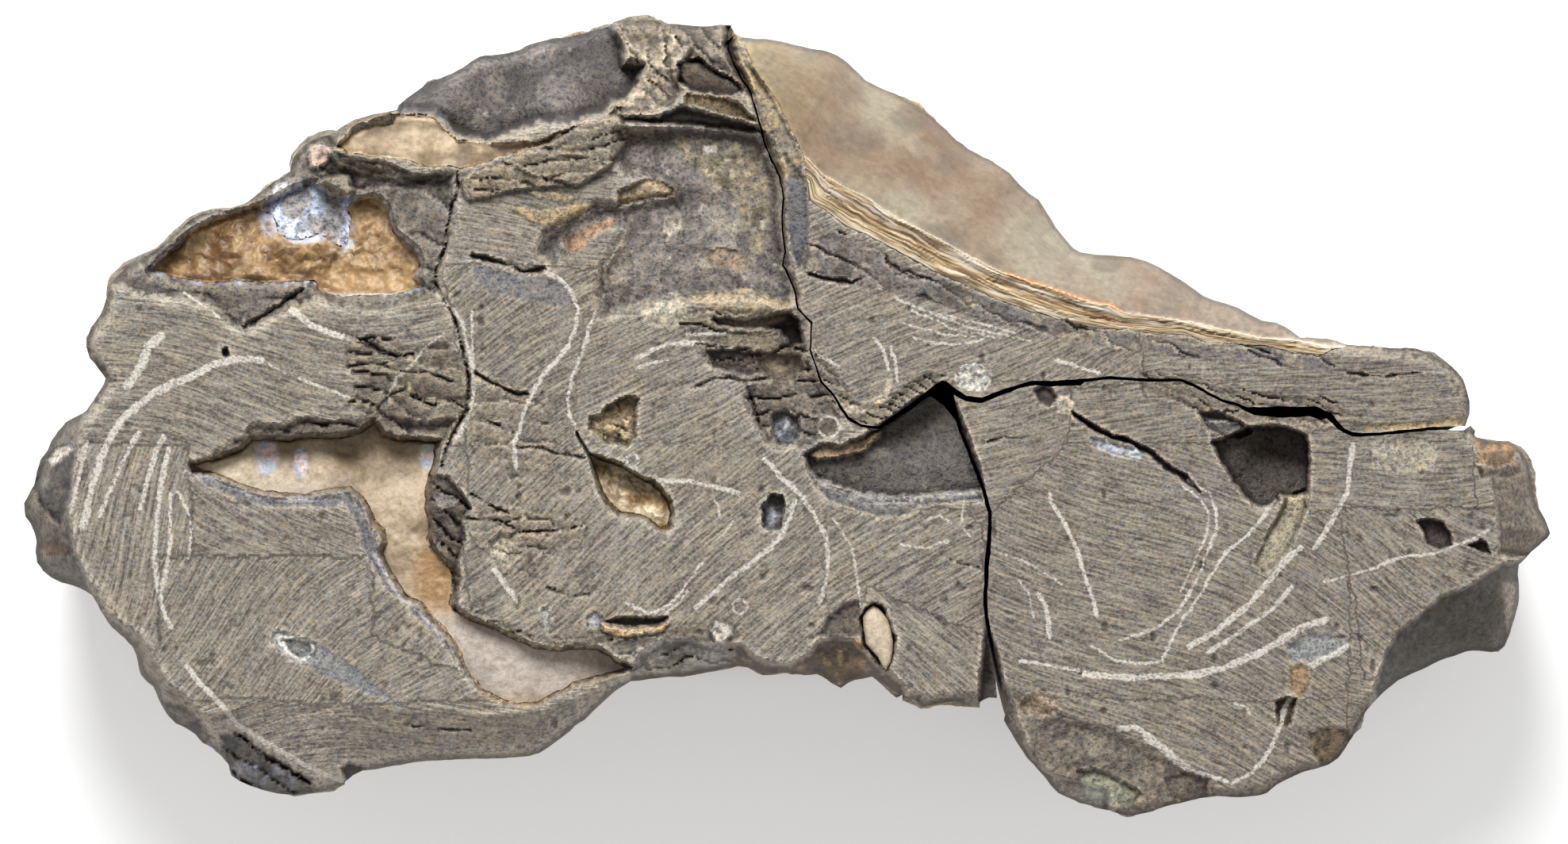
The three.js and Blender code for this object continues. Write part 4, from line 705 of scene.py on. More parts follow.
# Sheets of shell and crystal that lie on the rock: outline and thickness.
sheetOutlines = {
    "flankShell": {
        "outline": [(936, 46), (950, 82), (983, 133), (1014, 196), (1016, 228), (1020, 252), (1043, 266),
            (1069, 284), (1097, 298), (1133, 316), (1169, 336), (1191, 349), (1216, 358), (1241, 370),
            (1277, 383), (1306, 394), (1349, 406), (1384, 413), (1420, 415), (1460, 421), (1491, 420),
            (1521, 430), (1553, 432), (1593, 436), (1633, 444), (1662, 448), (1690, 440), (1697, 437),
            (1760, 380), (1300, 60), (936, -30)],
        "thickMm": 1.1, "toneReachMm": 0.35},
    "shellFlake": {
        "outline": [(427, 182), (434, 172), (447, 161), (470, 152), (497, 144), (522, 143), (545, 146),
            (557, 158), (566, 172), (577, 178), (613, 183), (647, 183), (672, 180), (690, 178), (672, 186),
            (640, 194), (613, 203), (587, 211), (547, 210), (530, 205), (513, 201), (490, 201), (467, 197),
            (440, 193)],
        "thickMm": 1.0, "toneReachMm": 0.2},
    "calciteCrust": {
        "outline": [(194, 338), (206, 325), (222, 309), (238, 295), (256, 283), (276, 274), (300, 267),
            (322, 264), (338, 268), (346, 280), (350, 294), (362, 302), (384, 300), (402, 296), (414, 304),
            (430, 312), (439, 306), (442, 290), (442, 274), (436, 262), (447, 252), (462, 247), (475, 248),
            (486, 258), (491, 272), (495, 290), (511, 305), (524, 318), (530, 331), (522, 348), (529, 360),
            (515, 366), (483, 372), (450, 374), (433, 375), (402, 365), (396, 353), (370, 354), (340, 356),
            (300, 354), (262, 355), (236, 351), (210, 346)],
        "thickMm": 1.5, "toneReachMm": 0.17},
    "nacreLining": {
        "outline": [(246, 587), (271, 581), (304, 570), (320, 555), (358, 557), (390, 552), (430, 552),
            (456, 547), (472, 537), (482, 551), (502, 555), (527, 555), (551, 558), (547, 575), (540, 598),
            (535, 619), (535, 640), (540, 659), (536, 680), (544, 696), (559, 711), (570, 719), (571, 737),
            (568, 762), (578, 774), (591, 783), (621, 795), (649, 807), (676, 818), (701, 822), (731, 819),
            (753, 822), (774, 836), (790, 843), (748, 854), (723, 858), (699, 873), (679, 883), (659, 886),
            (643, 885), (623, 875), (611, 867), (597, 852), (585, 837), (582, 822), (570, 803), (549, 779),
            (533, 760), (514, 751), (506, 738), (491, 711), (483, 696), (488, 686), (485, 668), (476, 661),
            (467, 644), (458, 625), (440, 613), (400, 618), (377, 624), (358, 619), (331, 616), (310, 610),
            (291, 603), (269, 595)],
        "thickMm": 0.8, "toneReachMm": 0.2},
    "pitCrust": {
        "outline": [(734, 558), (742, 574), (762, 582), (783, 590), (801, 602), (819, 611), (831, 620),
            (842, 633), (845, 647), (842, 661), (834, 664), (818, 653), (798, 646), (783, 646), (771, 634),
            (762, 620), (755, 605), (749, 586)],
        "thickMm": 0.8},
}
sheetClearanceMm = 0.12

# Shells cut across by the grinding show as pale lines: points and width in photo pixels.
shellLines = [
    ([(329, 453), (296, 453), (269, 461), (248, 471), (229, 479), (210, 486), (188, 499), (172, 513),
      (151, 531), (135, 558), (124, 583), (116, 610), (110, 636), (105, 663)], 10),
    ([(329, 453), (353, 467), (387, 480), (417, 493), (440, 503)], 3),
    ([(108, 558), (100, 596), (89, 645)], 5),
    ([(175, 545), (159, 572), (145, 601), (132, 634), (126, 650)], 6),
    ([(207, 550), (196, 572), (188, 599), (180, 626), (176, 642)], 6),
    ([(213, 567), (207, 591), (202, 618), (198, 650), (195, 690), (196, 717), (200, 745), (207, 770),
      (216, 790)], 7),
    ([(215, 623), (214, 663), (213, 690), (209, 717), (205, 740)], 5),
    ([(224, 618), (234, 639), (240, 650), (240, 677), (237, 704)], 4),
    ([(235, 840), (250, 860), (270, 880), (285, 895), (300, 915), (330, 932), (370, 955), (410, 978),
      (430, 985)], 7),
    ([(160, 487), (177, 463), (187, 437), (203, 423)], 11),
    ([(367, 390), (393, 410), (433, 423)], 8),
    ([(230, 367), (277, 400)], 3),
    ([(490, 498), (500, 477), (523, 457), (537, 437), (560, 420)], 3),
    ([(560, 381), (571, 390), (583, 407), (589, 436), (595, 465), (597, 494), (592, 523), (577, 552)], 5),
    ([(595, 393), (595, 428), (597, 468)], 3),
    ([(684, 341), (707, 353), (721, 370), (729, 390), (726, 416), (716, 439), (698, 459), (681, 477),
      (670, 497), (661, 517), (657, 534), (649, 557), (649, 568), (650, 589)], 5.5),
    ([(752, 393), (745, 410), (739, 433), (730, 456), (721, 480), (717, 503), (719, 523), (727, 540),
      (734, 559), (743, 580)], 4),
    ([(802, 451), (820, 442), (843, 433), (866, 431), (889, 432)], 5),
    ([(866, 419), (895, 420), (915, 420)], 3),
    ([(802, 465), (820, 458), (843, 454)], 3),
    ([(624, 719), (638, 737), (652, 756)], 7),
    ([(829, 605), (847, 607), (868, 607), (894, 613), (915, 617), (931, 622)], 5),
    ([(1002, 632), (997, 653), (984, 677), (973, 690), (958, 701), (942, 714), (923, 727), (905, 743),
      (889, 756), (876, 766)], 6),
    ([(963, 577), (979, 593), (989, 606), (1002, 614), (1015, 630), (1026, 648), (1036, 667), (1042, 685),
      (1044, 706), (1042, 730), (1038, 748), (1035, 758)], 6),
    ([(1049, 653), (1060, 669), (1071, 685), (1078, 703), (1081, 730), (1084, 756), (1085, 766)], 3),
    ([(889, 703), (876, 722), (863, 740), (850, 756), (834, 769), (818, 772), (805, 768), (789, 759)], 4),
    ([(868, 745), (855, 761), (839, 774)], 3),
    ([(900, 628), (905, 638), (908, 651)], 2.5),
    ([(926, 655), (915, 672), (905, 682)], 2.5),
    ([(1135, 685), (1169, 692), (1197, 683)], 3),
    ([(1172, 654), (1188, 651), (1200, 660)], 2.5),
    ([(1217, 628), (1214, 648), (1212, 663), (1225, 678)], 2.5),
    ([(1103, 426), (1114, 441), (1120, 466)], 4),
    ([(1123, 438), (1129, 457), (1132, 481)], 3.5),
    ([(1151, 426), (1175, 432), (1206, 434), (1237, 429)], 4),
    ([(1021, 429), (1034, 448), (1058, 463)], 3.5),
    ([(1130, 376), (1180, 398), (1230, 414), (1300, 430)], 3),
    ([(1150, 392), (1200, 414), (1260, 426)], 2.5),
    ([(1180, 396), (1230, 405), (1280, 420)], 2.5),
    ([(1140, 408), (1190, 422), (1230, 424)], 2.5),
    ([(1330, 453), (1357, 462), (1385, 472)], 5),
    ([(1322, 620), (1330, 638), (1344, 661), (1356, 688), (1365, 714), (1374, 744), (1383, 776)], 5),
    ([(1309, 748), (1318, 764), (1322, 785), (1323, 803)], 6),
    ([(1259, 697), (1285, 705), (1309, 717), (1339, 735)], 2.5),
    ([(1283, 729), (1297, 747), (1303, 779)], 2.5),
    ([(1498, 605), (1524, 623), (1533, 646), (1533, 670), (1524, 691), (1513, 720), (1498, 750),
      (1483, 773), (1459, 791), (1436, 800), (1412, 806)], 4),
    ([(1490, 612), (1514, 630), (1523, 650), (1522, 672), (1512, 694), (1500, 722), (1488, 744)], 3),
    ([(1607, 629), (1592, 652), (1572, 676), (1548, 694), (1530, 720), (1513, 750), (1492, 779),
      (1477, 809), (1465, 832)], 5),
    ([(1640, 690), (1622, 705), (1598, 735), (1569, 767), (1539, 791), (1501, 815)], 8),
    ([(1628, 741), (1607, 767), (1583, 782), (1554, 803), (1521, 823)], 6),
    ([(1368, 849), (1400, 853), (1436, 855), (1471, 853), (1510, 850), (1545, 842), (1583, 826),
      (1613, 808), (1642, 791), (1670, 781)], 9),
    ([(1286, 835), (1318, 838), (1360, 845)], 4),
    ([(1377, 814), (1406, 832), (1436, 837), (1465, 835)], 4),
    ([(1411, 919), (1432, 916), (1446, 928), (1464, 943), (1482, 958), (1499, 969), (1523, 978),
      (1553, 986), (1576, 975), (1594, 958), (1606, 937), (1614, 916), (1620, 893), (1629, 875)], 6),
    ([(1446, 928), (1464, 943), (1482, 958), (1499, 969)], 11),
    ([(1653, 840), (1682, 825), (1700, 813)], 9),
    ([(1706, 561), (1704, 574), (1701, 597), (1698, 621), (1687, 644), (1670, 672), (1658, 690)], 7),
    ([(1670, 733), (1704, 724), (1739, 713), (1773, 701), (1805, 698), (1828, 690), (1851, 681),
      (1877, 667)], 4),
    ([(1558, 887), (1570, 890), (1575, 899)], 4),
    ([(1520, 532), (1540, 531), (1560, 533)], 3),
]
shellRings = [(797.5, 581, 8, 3), (933, 765, 9, 3), (1045, 538, 13, 3)]

# Hairline cracks: points, width in photo pixels and depth in mm.
hairCracks = [
    ([(392, 357), (366, 374), (346, 390), (326, 404), (308, 414)], 6, 0.6),
    ([(262, 372), (284, 392), (300, 410)], 4, 0.3),
    ([(176, 372), (220, 366), (262, 372)], 3, 0.2),
    ([(430, 420), (452, 424), (478, 442), (500, 450), (520, 447)], 5, 0.6),
    ([(440, 462), (470, 458), (500, 468), (540, 470), (570, 482)], 4, 0.5),
    ([(520, 500), (545, 512), (572, 508), (590, 518)], 4, 0.6),
    ([(474, 520), (490, 500), (512, 490)], 3, 0.4),
    ([(618, 690), (640, 700), (668, 694), (700, 700)], 2.5, 0.3),
    ([(690, 740), (716, 752), (744, 748)], 2.5, 0.3),
    ([(1290, 372), (1330, 384), (1380, 392)], 3, 0.4),
    ([(1120, 330), (1150, 350), (1172, 352)], 3, 0.4),
    ([(605, 532), (629, 538), (650, 546)], 3, 0.4),
    ([(653, 565), (686, 565), (701, 573), (737, 577)], 3, 0.4),
    ([(593, 622), (617, 637), (641, 647)], 3.5, 0.5),
    ([(584, 653), (629, 657), (656, 671), (701, 669), (725, 665)], 4, 0.5),
    ([(600, 471), (618, 482), (647, 497), (664, 498)], 5, 0.6),
    ([(606, 529), (629, 537)], 4, 0.5),
    ([(597, 324), (618, 328), (647, 335), (661, 343), (684, 340)], 6, 0.7),
    ([(447, 430), (467, 437), (490, 447), (507, 447)], 4, 0.4),
    ([(473, 460), (513, 453)], 3, 0.4),
    ([(877, 488), (900, 478), (921, 477), (938, 482), (975, 475)], 4, 0.5),
    ([(575, 217), (577, 240), (570, 263), (563, 290), (562, 310), (550, 337), (548, 357), (557, 377),
      (567, 390), (576, 413), (583, 443), (589, 467), (592, 490), (586, 520), (572, 548), (562, 568),
      (556, 586)], 3.5, 0.8),
    ([(520, 915), (556, 919), (593, 921)], 3, 0.3),
    ([(940, 482), (948, 506), (955, 530)], 4, 0.6),
    ([(1188, 700), (1212, 712), (1234, 716)], 2.5, 0.3),
    ([(1240, 560), (1262, 552), (1290, 554)], 2.5, 0.3),
    ([(1440, 400), (1480, 408), (1540, 424), (1600, 446)], 4, 0.5),
    ([(1020, 345), (1040, 350), (1075, 356), (1086, 352)], 5, 0.6),
    ([(1700, 470), (1740, 476), (1790, 470)], 3, 0.4),
]

# Directions of the tool strokes by area: outline and angle above the horizontal, in degrees.
strokeAreas = [
    ([(100, 360), (600, 360), (600, 560), (240, 590), (90, 560)], -6),
    ([(230, 590), (560, 590), (500, 720), (240, 720)], -28),
    ([(60, 560), (240, 560), (240, 900), (60, 900)], 62),
    ([(200, 700), (480, 700), (640, 900), (200, 900)], 40),
    ([(470, 560), (660, 560), (640, 880), (470, 800)], 52),
    ([(200, 884), (800, 884), (800, 1060), (200, 1060)], -2),
    ([(560, 240), (720, 240), (700, 335), (560, 335)], -22),
    ([(560, 335), (760, 335), (745, 500), (590, 500)], 33),
    ([(590, 500), (1060, 500), (1060, 860), (590, 860)], 38),
    ([(735, 390), (1000, 390), (960, 560), (720, 560)], 30),
    ([(1040, 640), (1245, 640), (1245, 900), (1040, 900)], 32),
    ([(1090, 740), (1245, 800), (1245, 900), (1090, 900)], -35),
    ([(985, 190), (1460, 360), (1460, 480), (1160, 510), (1020, 540)], 25),
    ([(1440, 400), (1860, 430), (1860, 550), (1440, 500)], 3),
    ([(1200, 480), (1350, 480), (1340, 660), (1230, 660)], 18),
    ([(1340, 560), (1700, 560), (1700, 900), (1250, 900), (1240, 660)], -23),
    ([(1650, 540), (1860, 540), (1860, 645), (1650, 645)], 0),
    ([(1690, 640), (1900, 640), (1900, 800), (1720, 860)], -28),
    ([(1260, 880), (1700, 880), (1700, 1040), (1260, 1040)], -27),
]


# Repeatable noise without tables: a hashed lattice, blended smoothly.
def latticeValue(i, j, k, seed):
    value = (i * 374761393 + j * 668265263 + k * 1440662683 + seed * 974711) & 0xFFFFFFFF
    value = ((value ^ (value >> 13)) * 1274126177) & 0xFFFFFFFF
    return ((value ^ (value >> 16)) & 0xFFFF) / 32767.5 - 1.0


def softNoise(points, sizeMm, seed, octaves=1):
    total = np.zeros(len(points))
    strength, whole = 1.0, 0.0
    for octave in range(octaves):
        scaled = points / sizeMm
        cell = np.floor(scaled).astype(np.int64)
        part = scaled - cell
        part = part * part * (3.0 - 2.0 * part)
        value = np.zeros(len(points))
        for corner in itertools.product((0, 1), repeat=3):
            sides = [part[:, axis] if corner[axis] else 1 - part[:, axis] for axis in range(3)]
            i, j, k = [cell[:, axis] + corner[axis] for axis in range(3)]
            value += sides[0] * sides[1] * sides[2] * latticeValue(i, j, k, seed + octave)
        total += strength * value
        whole += strength
        strength *= 0.5
        sizeMm *= 0.5
    return total / whole


def flatNoise(points, sizeMm, seed, octaves=1):
    flat = np.column_stack([points[:, 0], points[:, 1], np.full(len(points), 0.37 * seed)])
    return softNoise(flat, sizeMm, seed, octaves)


def smoothStep(value, low, high):
    t = np.clip((value - low) / (high - low), 0.0, 1.0)
    return t * t * (3.0 - 2.0 * t)


def lineDistance(points, line, closed=False):
    best = np.full(len(points), 1e9)
    count = len(line) if closed else len(line) - 1
    for i in range(count):
        a, b = line[i], line[(i + 1) % len(line)]
        run = b - a
        t = np.clip(((points - a) @ run) / max(run @ run, 1e-9), 0.0, 1.0)
        best = np.minimum(best, np.hypot(*(points - a - t[:, None] * run).T))
    return best


def sideOf(points, line):  # which side of the nearest run of the line
    best = np.full(len(points), 1e9)
    side = np.ones(len(points))
    for a, b in zip(line[:-1], line[1:]):
        run = b - a
        t = np.clip(((points - a) @ run) / max(run @ run, 1e-9), 0.0, 1.0)
        away = points - a - t[:, None] * run
        distance = np.hypot(*away.T)
        side = np.where(distance < best, run[0] * away[:, 1] - run[1] * away[:, 0], side)
        best = np.minimum(best, distance)
    return side


def insideRing(points, ring):
    inside = np.zeros(len(points), bool)
    x, y = points[:, 0], points[:, 1]
    for i in range(len(ring)):
        (ax, ay), (bx, by) = ring[i], ring[i - 1]
        crossing = (ay > y) != (by > y)
        rise = by - ay if by != ay else 1e-9
        inside ^= crossing & (x < (bx - ax) * (y - ay) / rise + ax)
    return inside


def depthInside(points, ring):  # how far inside the ring, negative outside
    distance = lineDistance(points, ring, True)
    return np.where(insideRing(points, ring), distance, -distance)


def nearRing(points, ring, margin):
    low, high = ring.min(0) - margin, ring.max(0) + margin
    return np.flatnonzero(((points > low) & (points < high)).all(1))


def wander(points):  # natural unevenness of every outline
    small = np.column_stack([flatNoise(points, 0.42, 11, 2), flatNoise(points, 0.42, 12, 2)])
    large = np.column_stack([flatNoise(points, 2.0, 13), flatNoise(points, 2.0, 14)])
    return 0.13 * small + 0.14 * large


def spotValue(points, spots):
    total = np.zeros(len(points))
    weights = np.zeros(len(points))
    for px, py, depth in spots:
        weight = 1.0 / (((points - plan((px, py))) ** 2).sum(1) + 0.5)
        total += weight * depth
        weights += weight
    return total / weights


rimRing = plan(mainRim + upperRightRim + lowerRightRim)


# Crystals: the upper envelope of small tilted pyramids.
def crystalField(points, sizeMm, seed):
    cell = np.floor(points / sizeMm).astype(np.int64)
    best = np.full(len(points), -9.0)
    tone = np.zeros(len(points))
    for di in (-1, 0, 1):
        for dj in (-1, 0, 1):
            i, j = cell[:, 0] + di, cell[:, 1] + dj
            zero = np.zeros_like(i)
            seedX = (i + 0.5 + 0.4 * latticeValue(i, j, zero, seed)) * sizeMm
            seedY = (j + 0.5 + 0.4 * latticeValue(i, j, zero, seed + 1)) * sizeMm
            turn = 3.14 * latticeValue(i, j, zero, seed + 2)
            tall = 0.5 + 0.5 * latticeValue(i, j, zero, seed + 3)
            dx, dy = points[:, 0] - seedX, points[:, 1] - seedY
            reach = np.full(len(points), -9.0)
            for side in range(3):
                angle = turn + side * 2.094 + 0.3 * latticeValue(i, j, zero + side, seed + 4)
                slope = 0.8 + 0.35 * latticeValue(i, j, zero + side, seed + 5)
                reach = np.maximum(reach, slope * (dx * np.cos(angle) + dy * np.sin(angle)))
            value = 0.5 * sizeMm * tall - reach
            tone = np.where(value > best, latticeValue(i, j, zero, seed + 6), tone)
            best = np.maximum(best, value)
    return best, tone


# Broken layers: uneven steps with a groove at the foot of each. The second value is painted shade in the
# grooves and painted highlight on the crests.
def slabRelief(points, slabs, seed):
    degrees, sizeMm, heightMm = slabs
    turned = math.radians(degrees)
    up = points @ np.array([math.cos(turned), math.sin(turned)])
    level = up / sizeMm + 0.9 * flatNoise(points, 3.2 * sizeMm, seed, 2)
    level = level + 0.3 * flatNoise(points, 0.6 * sizeMm, 401, 2)
    step = np.floor(level)
    part = level - step
    zero = np.zeros(len(points), np.int64)
    lift = latticeValue(step.astype(np.int64), zero, zero, seed)
    frayed = smoothStep(flatNoise(points, 2.0 * sizeMm, seed + 1, 2), -0.2, 0.25)
    groove = smoothStep(-part, -0.22, -0.05) * frayed
    crest = smoothStep(part, 0.72, 0.95)
    return heightMm * (0.35 * lift + 0.5 * part - 0.9 * groove), 0.22 * crest - 0.5 * groove


# The ground face before anything is laid on it, and the darker band along its edge.
freshFace = {"colour": (124, 117, 107), "rough": 0.78, "grain": 0.8, "uneven": 0.03}
rimTone = {"colour": (112, 104, 93), "stroke": 0.4, "rough": 0.8}
alongFlank = np.array([0.86, -0.5])


# Everything that the face is at a set of plan points: height, colour and finish.
def faceAt(points):
    count = len(points)
    moved = points + wander(points)
    toRim = depthInside(points, rimRing)
    height = stone["faceHeightMm"] - stone["fallAtEndsMm"] * (points[:, 0] / 50.0) ** 2
    height += 0.07 * flatNoise(points, 9.0, 21) + 0.05 * flatNoise(points, 2.6, 22)
    face = {
        "colour": np.tile(paint(*freshFace["colour"]), (count, 1)), "stroke": np.ones(count),
        "rough": np.full(count, freshFace["rough"]), "uneven": np.full(count, freshFace["uneven"]),
        "grainSize": np.full(count, freshFace["grain"]),
    }
    rounding = np.clip(1.0 - np.maximum(toRim, 0.0) / stone["rimRoundingWidthMm"], 0.0, 1.0)
    height -= stone["rimRoundingMm"] * rounding ** 2
    near = smoothStep(-toRim + 0.3 * flatNoise(points, 0.9, 23, 2), -0.7, 0.0)
    blendFinish(face, near * 0.35, rimTone["colour"], rimTone["stroke"], rimTone["rough"])
    for name, slope in slopes.items():
        ring = plan(slope["crest"] + slope["outside"])
        chosen = nearRing(points, ring, 0.5)
        inside = depthInside(moved[chosen], ring)
        chosen, inside = chosen[inside > -0.1], inside[inside > -0.1]
        down = lineDistance(moved[chosen], plan(slope["crest"]))
        share = np.where(toRim[chosen] <= 0, 1.0, down / (down + np.maximum(toRim[chosen], 1e-6)))
        fall = slope["fallMm"] * np.ones(len(chosen))
        if name == "flank":
            fall *= 0.4 + 0.6 * smoothStep(points[chosen, 0], 37.2, 29.2)
            along = points[chosen] @ alongFlank
            ribs = 0.55 * np.sin(along / 1.15 + 0.6 * share)
            fall += share * (ribs + 0.6 * flatNoise(points[chosen], 5.0, 31))
        mask = smoothStep(inside, -0.1, 0.3)
        height[chosen] -= mask * (slope["startMm"] + fall * share ** 1.15)
        soft = np.zeros(count)
        soft[chosen] = mask
        blendFinish(face, soft, slope["colour"], slope["stroke"], 0.7)
        evenness = 0.3 if name in ("flank", "lowerBevel") else 1.0
        face["uneven"] = face["uneven"] * (1 - soft) + 0.18 * soft * evenness
        face["grainSize"] = face["grainSize"] * (1 - soft) + 1.0 * soft
    face["colour"] *= 1.0 - 0.05 * smoothStep(points[:, 0], 9.0, 16.0)[:, None]
    broken, shade = np.zeros(count), np.zeros(count)
    for number, patch in enumerate(patches.values()):
        ring = plan(patch["outline"])
        wall = patch["wallMm"]
        chosen = nearRing(points, ring, wall + 0.3)
        if not len(chosen):
            continue
        inside = depthInside(moved[chosen], ring)
        mask = smoothStep(inside, -wall / 2, wall / 2)
        if patch["spots"] is not None:
            height[chosen] -= mask * spotValue(points[chosen], patch["spots"])
        soft = np.zeros(count)
        soft[chosen] = smoothStep(inside + 0.14 * flatNoise(points[chosen], 0.3, 33 + number, 2), -0.1, 0.1)
        blendFinish(face, soft, patch["colour"], patch["stroke"], patch["rough"])
        face["uneven"] = face["uneven"] * (1 - soft) + patch["unevenMm"] * soft
        face["grainSize"] = face["grainSize"] * (1 - soft) + patch["grainMm"] * soft
        broken[chosen] *= 1.0 - soft[chosen]
        shade[chosen] *= 1.0 - soft[chosen]
        if "slabs" in patch:
            # tint here is the painted shade of the slab grooves and the painted highlight of their crests.
            lift, tint = slabRelief(points[chosen], patch["slabs"], 300 + number)
            broken[chosen] += soft[chosen] * lift
            shade[chosen] += soft[chosen] * tint
        for colour, sizeMm, cover in patch.get("blotches", ()):
            blotch = smoothStep(flatNoise(points[chosen], sizeMm, 200 + number, 3) + cover, 0.0, 0.16)
            share = soft[chosen] * blotch
            face["colour"][chosen] += 0.85 * share[:, None] * (paint(*colour) - face["colour"][chosen])
    rugged = np.zeros(count)
    for size in (0.3, 0.6, 1.0, 1.6):  # each place takes the noise nearest its own grain size
        share = np.clip(1.0 - np.abs(np.log(face["grainSize"] / size)) / 0.7, 0.0, 1.0)
        picked = np.flatnonzero((share > 0) & (face["uneven"] > 0.02))
        lumps = flatNoise(points[picked], size, 41, 3)
        creases = 1.0 - 2.0 * np.abs(flatNoise(points[picked], size * 1.3, 45, 2))
        facets = crystalField(points[picked] + 0.3 * wander(points[picked]), 2.0 * size, 46)[0] / size
        rugged[picked] += share[picked] * (0.4 * lumps + 0.3 * creases + 0.55 * facets)
    height += face["uneven"] * rugged + broken
    chips = smoothStep(flatNoise(points, 0.8, 47, 2), 0.42, 0.7) * face["stroke"]
    height -= 0.16 * chips
    tone = 1.0 + 0.13 * flatNoise(points, 4.0, 48, 3) + 0.11 * flatNoise(points, 0.8, 49, 2) - 0.3 * chips
    # Painted highlight where the rough relief stands up and painted shade where it dips, plus the painted
    # shade and highlight of the slab steps.
    tone += 0.16 * rugged * (1.0 - face["stroke"]) + shade
    warmth = 0.05 * flatNoise(points, 2.5, 50, 2)
    face["colour"] *= tone[:, None] * (1.0 + warmth[:, None] * np.array([1.0, 0.0, -1.0]))
    face["height"] = height
    return face


def blendFinish(face, mask, colour, stroke, rough):
    face["colour"] += mask[:, None] * (paint(*colour) - face["colour"])
    face["stroke"] += mask * (stroke - face["stroke"])
    face["rough"] += mask * (rough - face["rough"])


# Painted shade and painted highlight: lighter where the surface stands out from its surroundings, darker
# where it lies back.
def paintedShadingTone(height, faces, count, reachMm=0.06):
    ends = np.vstack([faces[:, [0, 1]], faces[:, [1, 2]], faces[:, [2, 0]]])
    share = np.maximum(np.bincount(ends[:, 0], minlength=count), 1)
    tone = np.ones(count)
    smoothed = height
    for strength in (0.34, 0.24, 0.14):
        for unused in range(2):
            smoothed = np.bincount(ends[:, 0], smoothed[ends[:, 1]], count) / share
        tone += strength * np.tanh((height - smoothed) / reachMm)
        reachMm *= 2.0
    return np.clip(tone, 0.55, 1.6)


def strokePlaces(points):
    angle = np.zeros(len(points))
    area = np.zeros(len(points))
    edge = points + 2.2 * wander(points * 0.6)
    for number, (outline, degrees) in enumerate(strokeAreas):
        inside = insideRing(edge, plan(outline))
        angle[inside] = math.radians(degrees)
        area[inside] = number + 1
    angle = angle + 0.10 * flatNoise(points, 14.0, 51)
    along = points[:, 0] * np.cos(angle) + points[:, 1] * np.sin(angle)
    across = -points[:, 0] * np.sin(angle) + points[:, 1] * np.cos(angle)
    return np.column_stack([along, across, area * 3.7])


def strokeRelief(places):  # the coarser gouges of the tool
    stretched = places * np.array([0.2, 1.0, 1.0])
    return 0.6 * softNoise(stretched, 0.75, 61) + 0.6 * (0.5 - np.abs(softNoise(stretched, 0.5, 62)))


def linesAt(points):
    moved = points + 0.6 * wander(points)
    shell = np.full(len(points), -1.0)
    for line, width in shellLines:
        path = plan(line)
        chosen = nearRing(points, path, 1.0)
        if len(chosen):
            value = 0.48 * width * mmPerPx - lineDistance(moved[chosen], path)
            shell[chosen] = np.maximum(shell[chosen], value + 0.07 * flatNoise(points[chosen], 1.3, 36, 2))
    for px, py, radius, width in shellRings:
        away = np.hypot(*(points - plan((px, py))).T) - radius * mmPerPx
        shell = np.maximum(shell, width * mmPerPx / 2 - np.abs(away))
    # split marks the hairline cracks, which the rock material paints near black as painted shade inside them.
    split = np.full(len(points), -1.0)
    depth = np.zeros(len(points))
    for line, width, deep in hairCracks:
        path = plan(line)
        chosen = nearRing(points, path, 1.0)
        if len(chosen):
            away = lineDistance(moved[chosen], path)
            value = width * mmPerPx / 2 - away + 0.2 * flatNoise(points[chosen], 0.9, 35, 2) - 0.08
            split[chosen] = np.maximum(split[chosen], value)
            lip = 0.35 * deep * np.exp(-away / 0.5) * (sideOf(moved[chosen], path) > 0)
            depth[chosen] = np.maximum(depth[chosen], deep * smoothStep(value, -0.1, 0.06) + lip)
    return shell, split, depth


def resampled(line, spacingMm, closed):
    path = np.vstack([line, line[:1]]) if closed else np.asarray(line)
    result = []
    for a, b in zip(path[:-1], path[1:]):
        steps = max(1, int(round(np.hypot(*(b - a)) / spacingMm)))
        result.extend(a + (b - a) * k / steps for k in range(steps))
    if not closed:
        result.append(path[-1])
    return np.array(result)


def featurePoints(spacingMm):  # points on both sides of every step, so that edges stay crisp
    found = []
    for patch in patches.values():
        if patch["spots"] is None:
            continue
        ring = resampled(plan(patch["outline"]), spacingMm, True)
        for side in (-0.5, 0.5):
            found.append(ring + side * patch["wallMm"] * acrossRing(ring))
    for line, width in shellLines:
        found.append(resampled(plan(line), spacingMm, False))
    for line, width, deep in hairCracks:
        path = resampled(plan(line), spacingMm, False)
        found.extend([path, path + 0.12, path - 0.12])
    for sheet in sheetOutlines.values():
        found.append(resampled(plan(sheet["outline"]), spacingMm, True))
    points = np.vstack(found)
    return points - wander(points)


def thinned(points, cellMm):
    keys = np.floor(points / cellMm).astype(np.int64)
    unused, first = np.unique(keys[:, 0] * 100003 + keys[:, 1], return_index=True)
    return points[np.sort(first)]


def acrossRing(ring):  # unit directions square to the ring, one for each of its points
    along = np.roll(ring, -1, 0) - np.roll(ring, 1, 0)
    return np.column_stack([-along[:, 1], along[:, 0]]) / np.maximum(np.hypot(*along.T), 1e-9)[:, None]


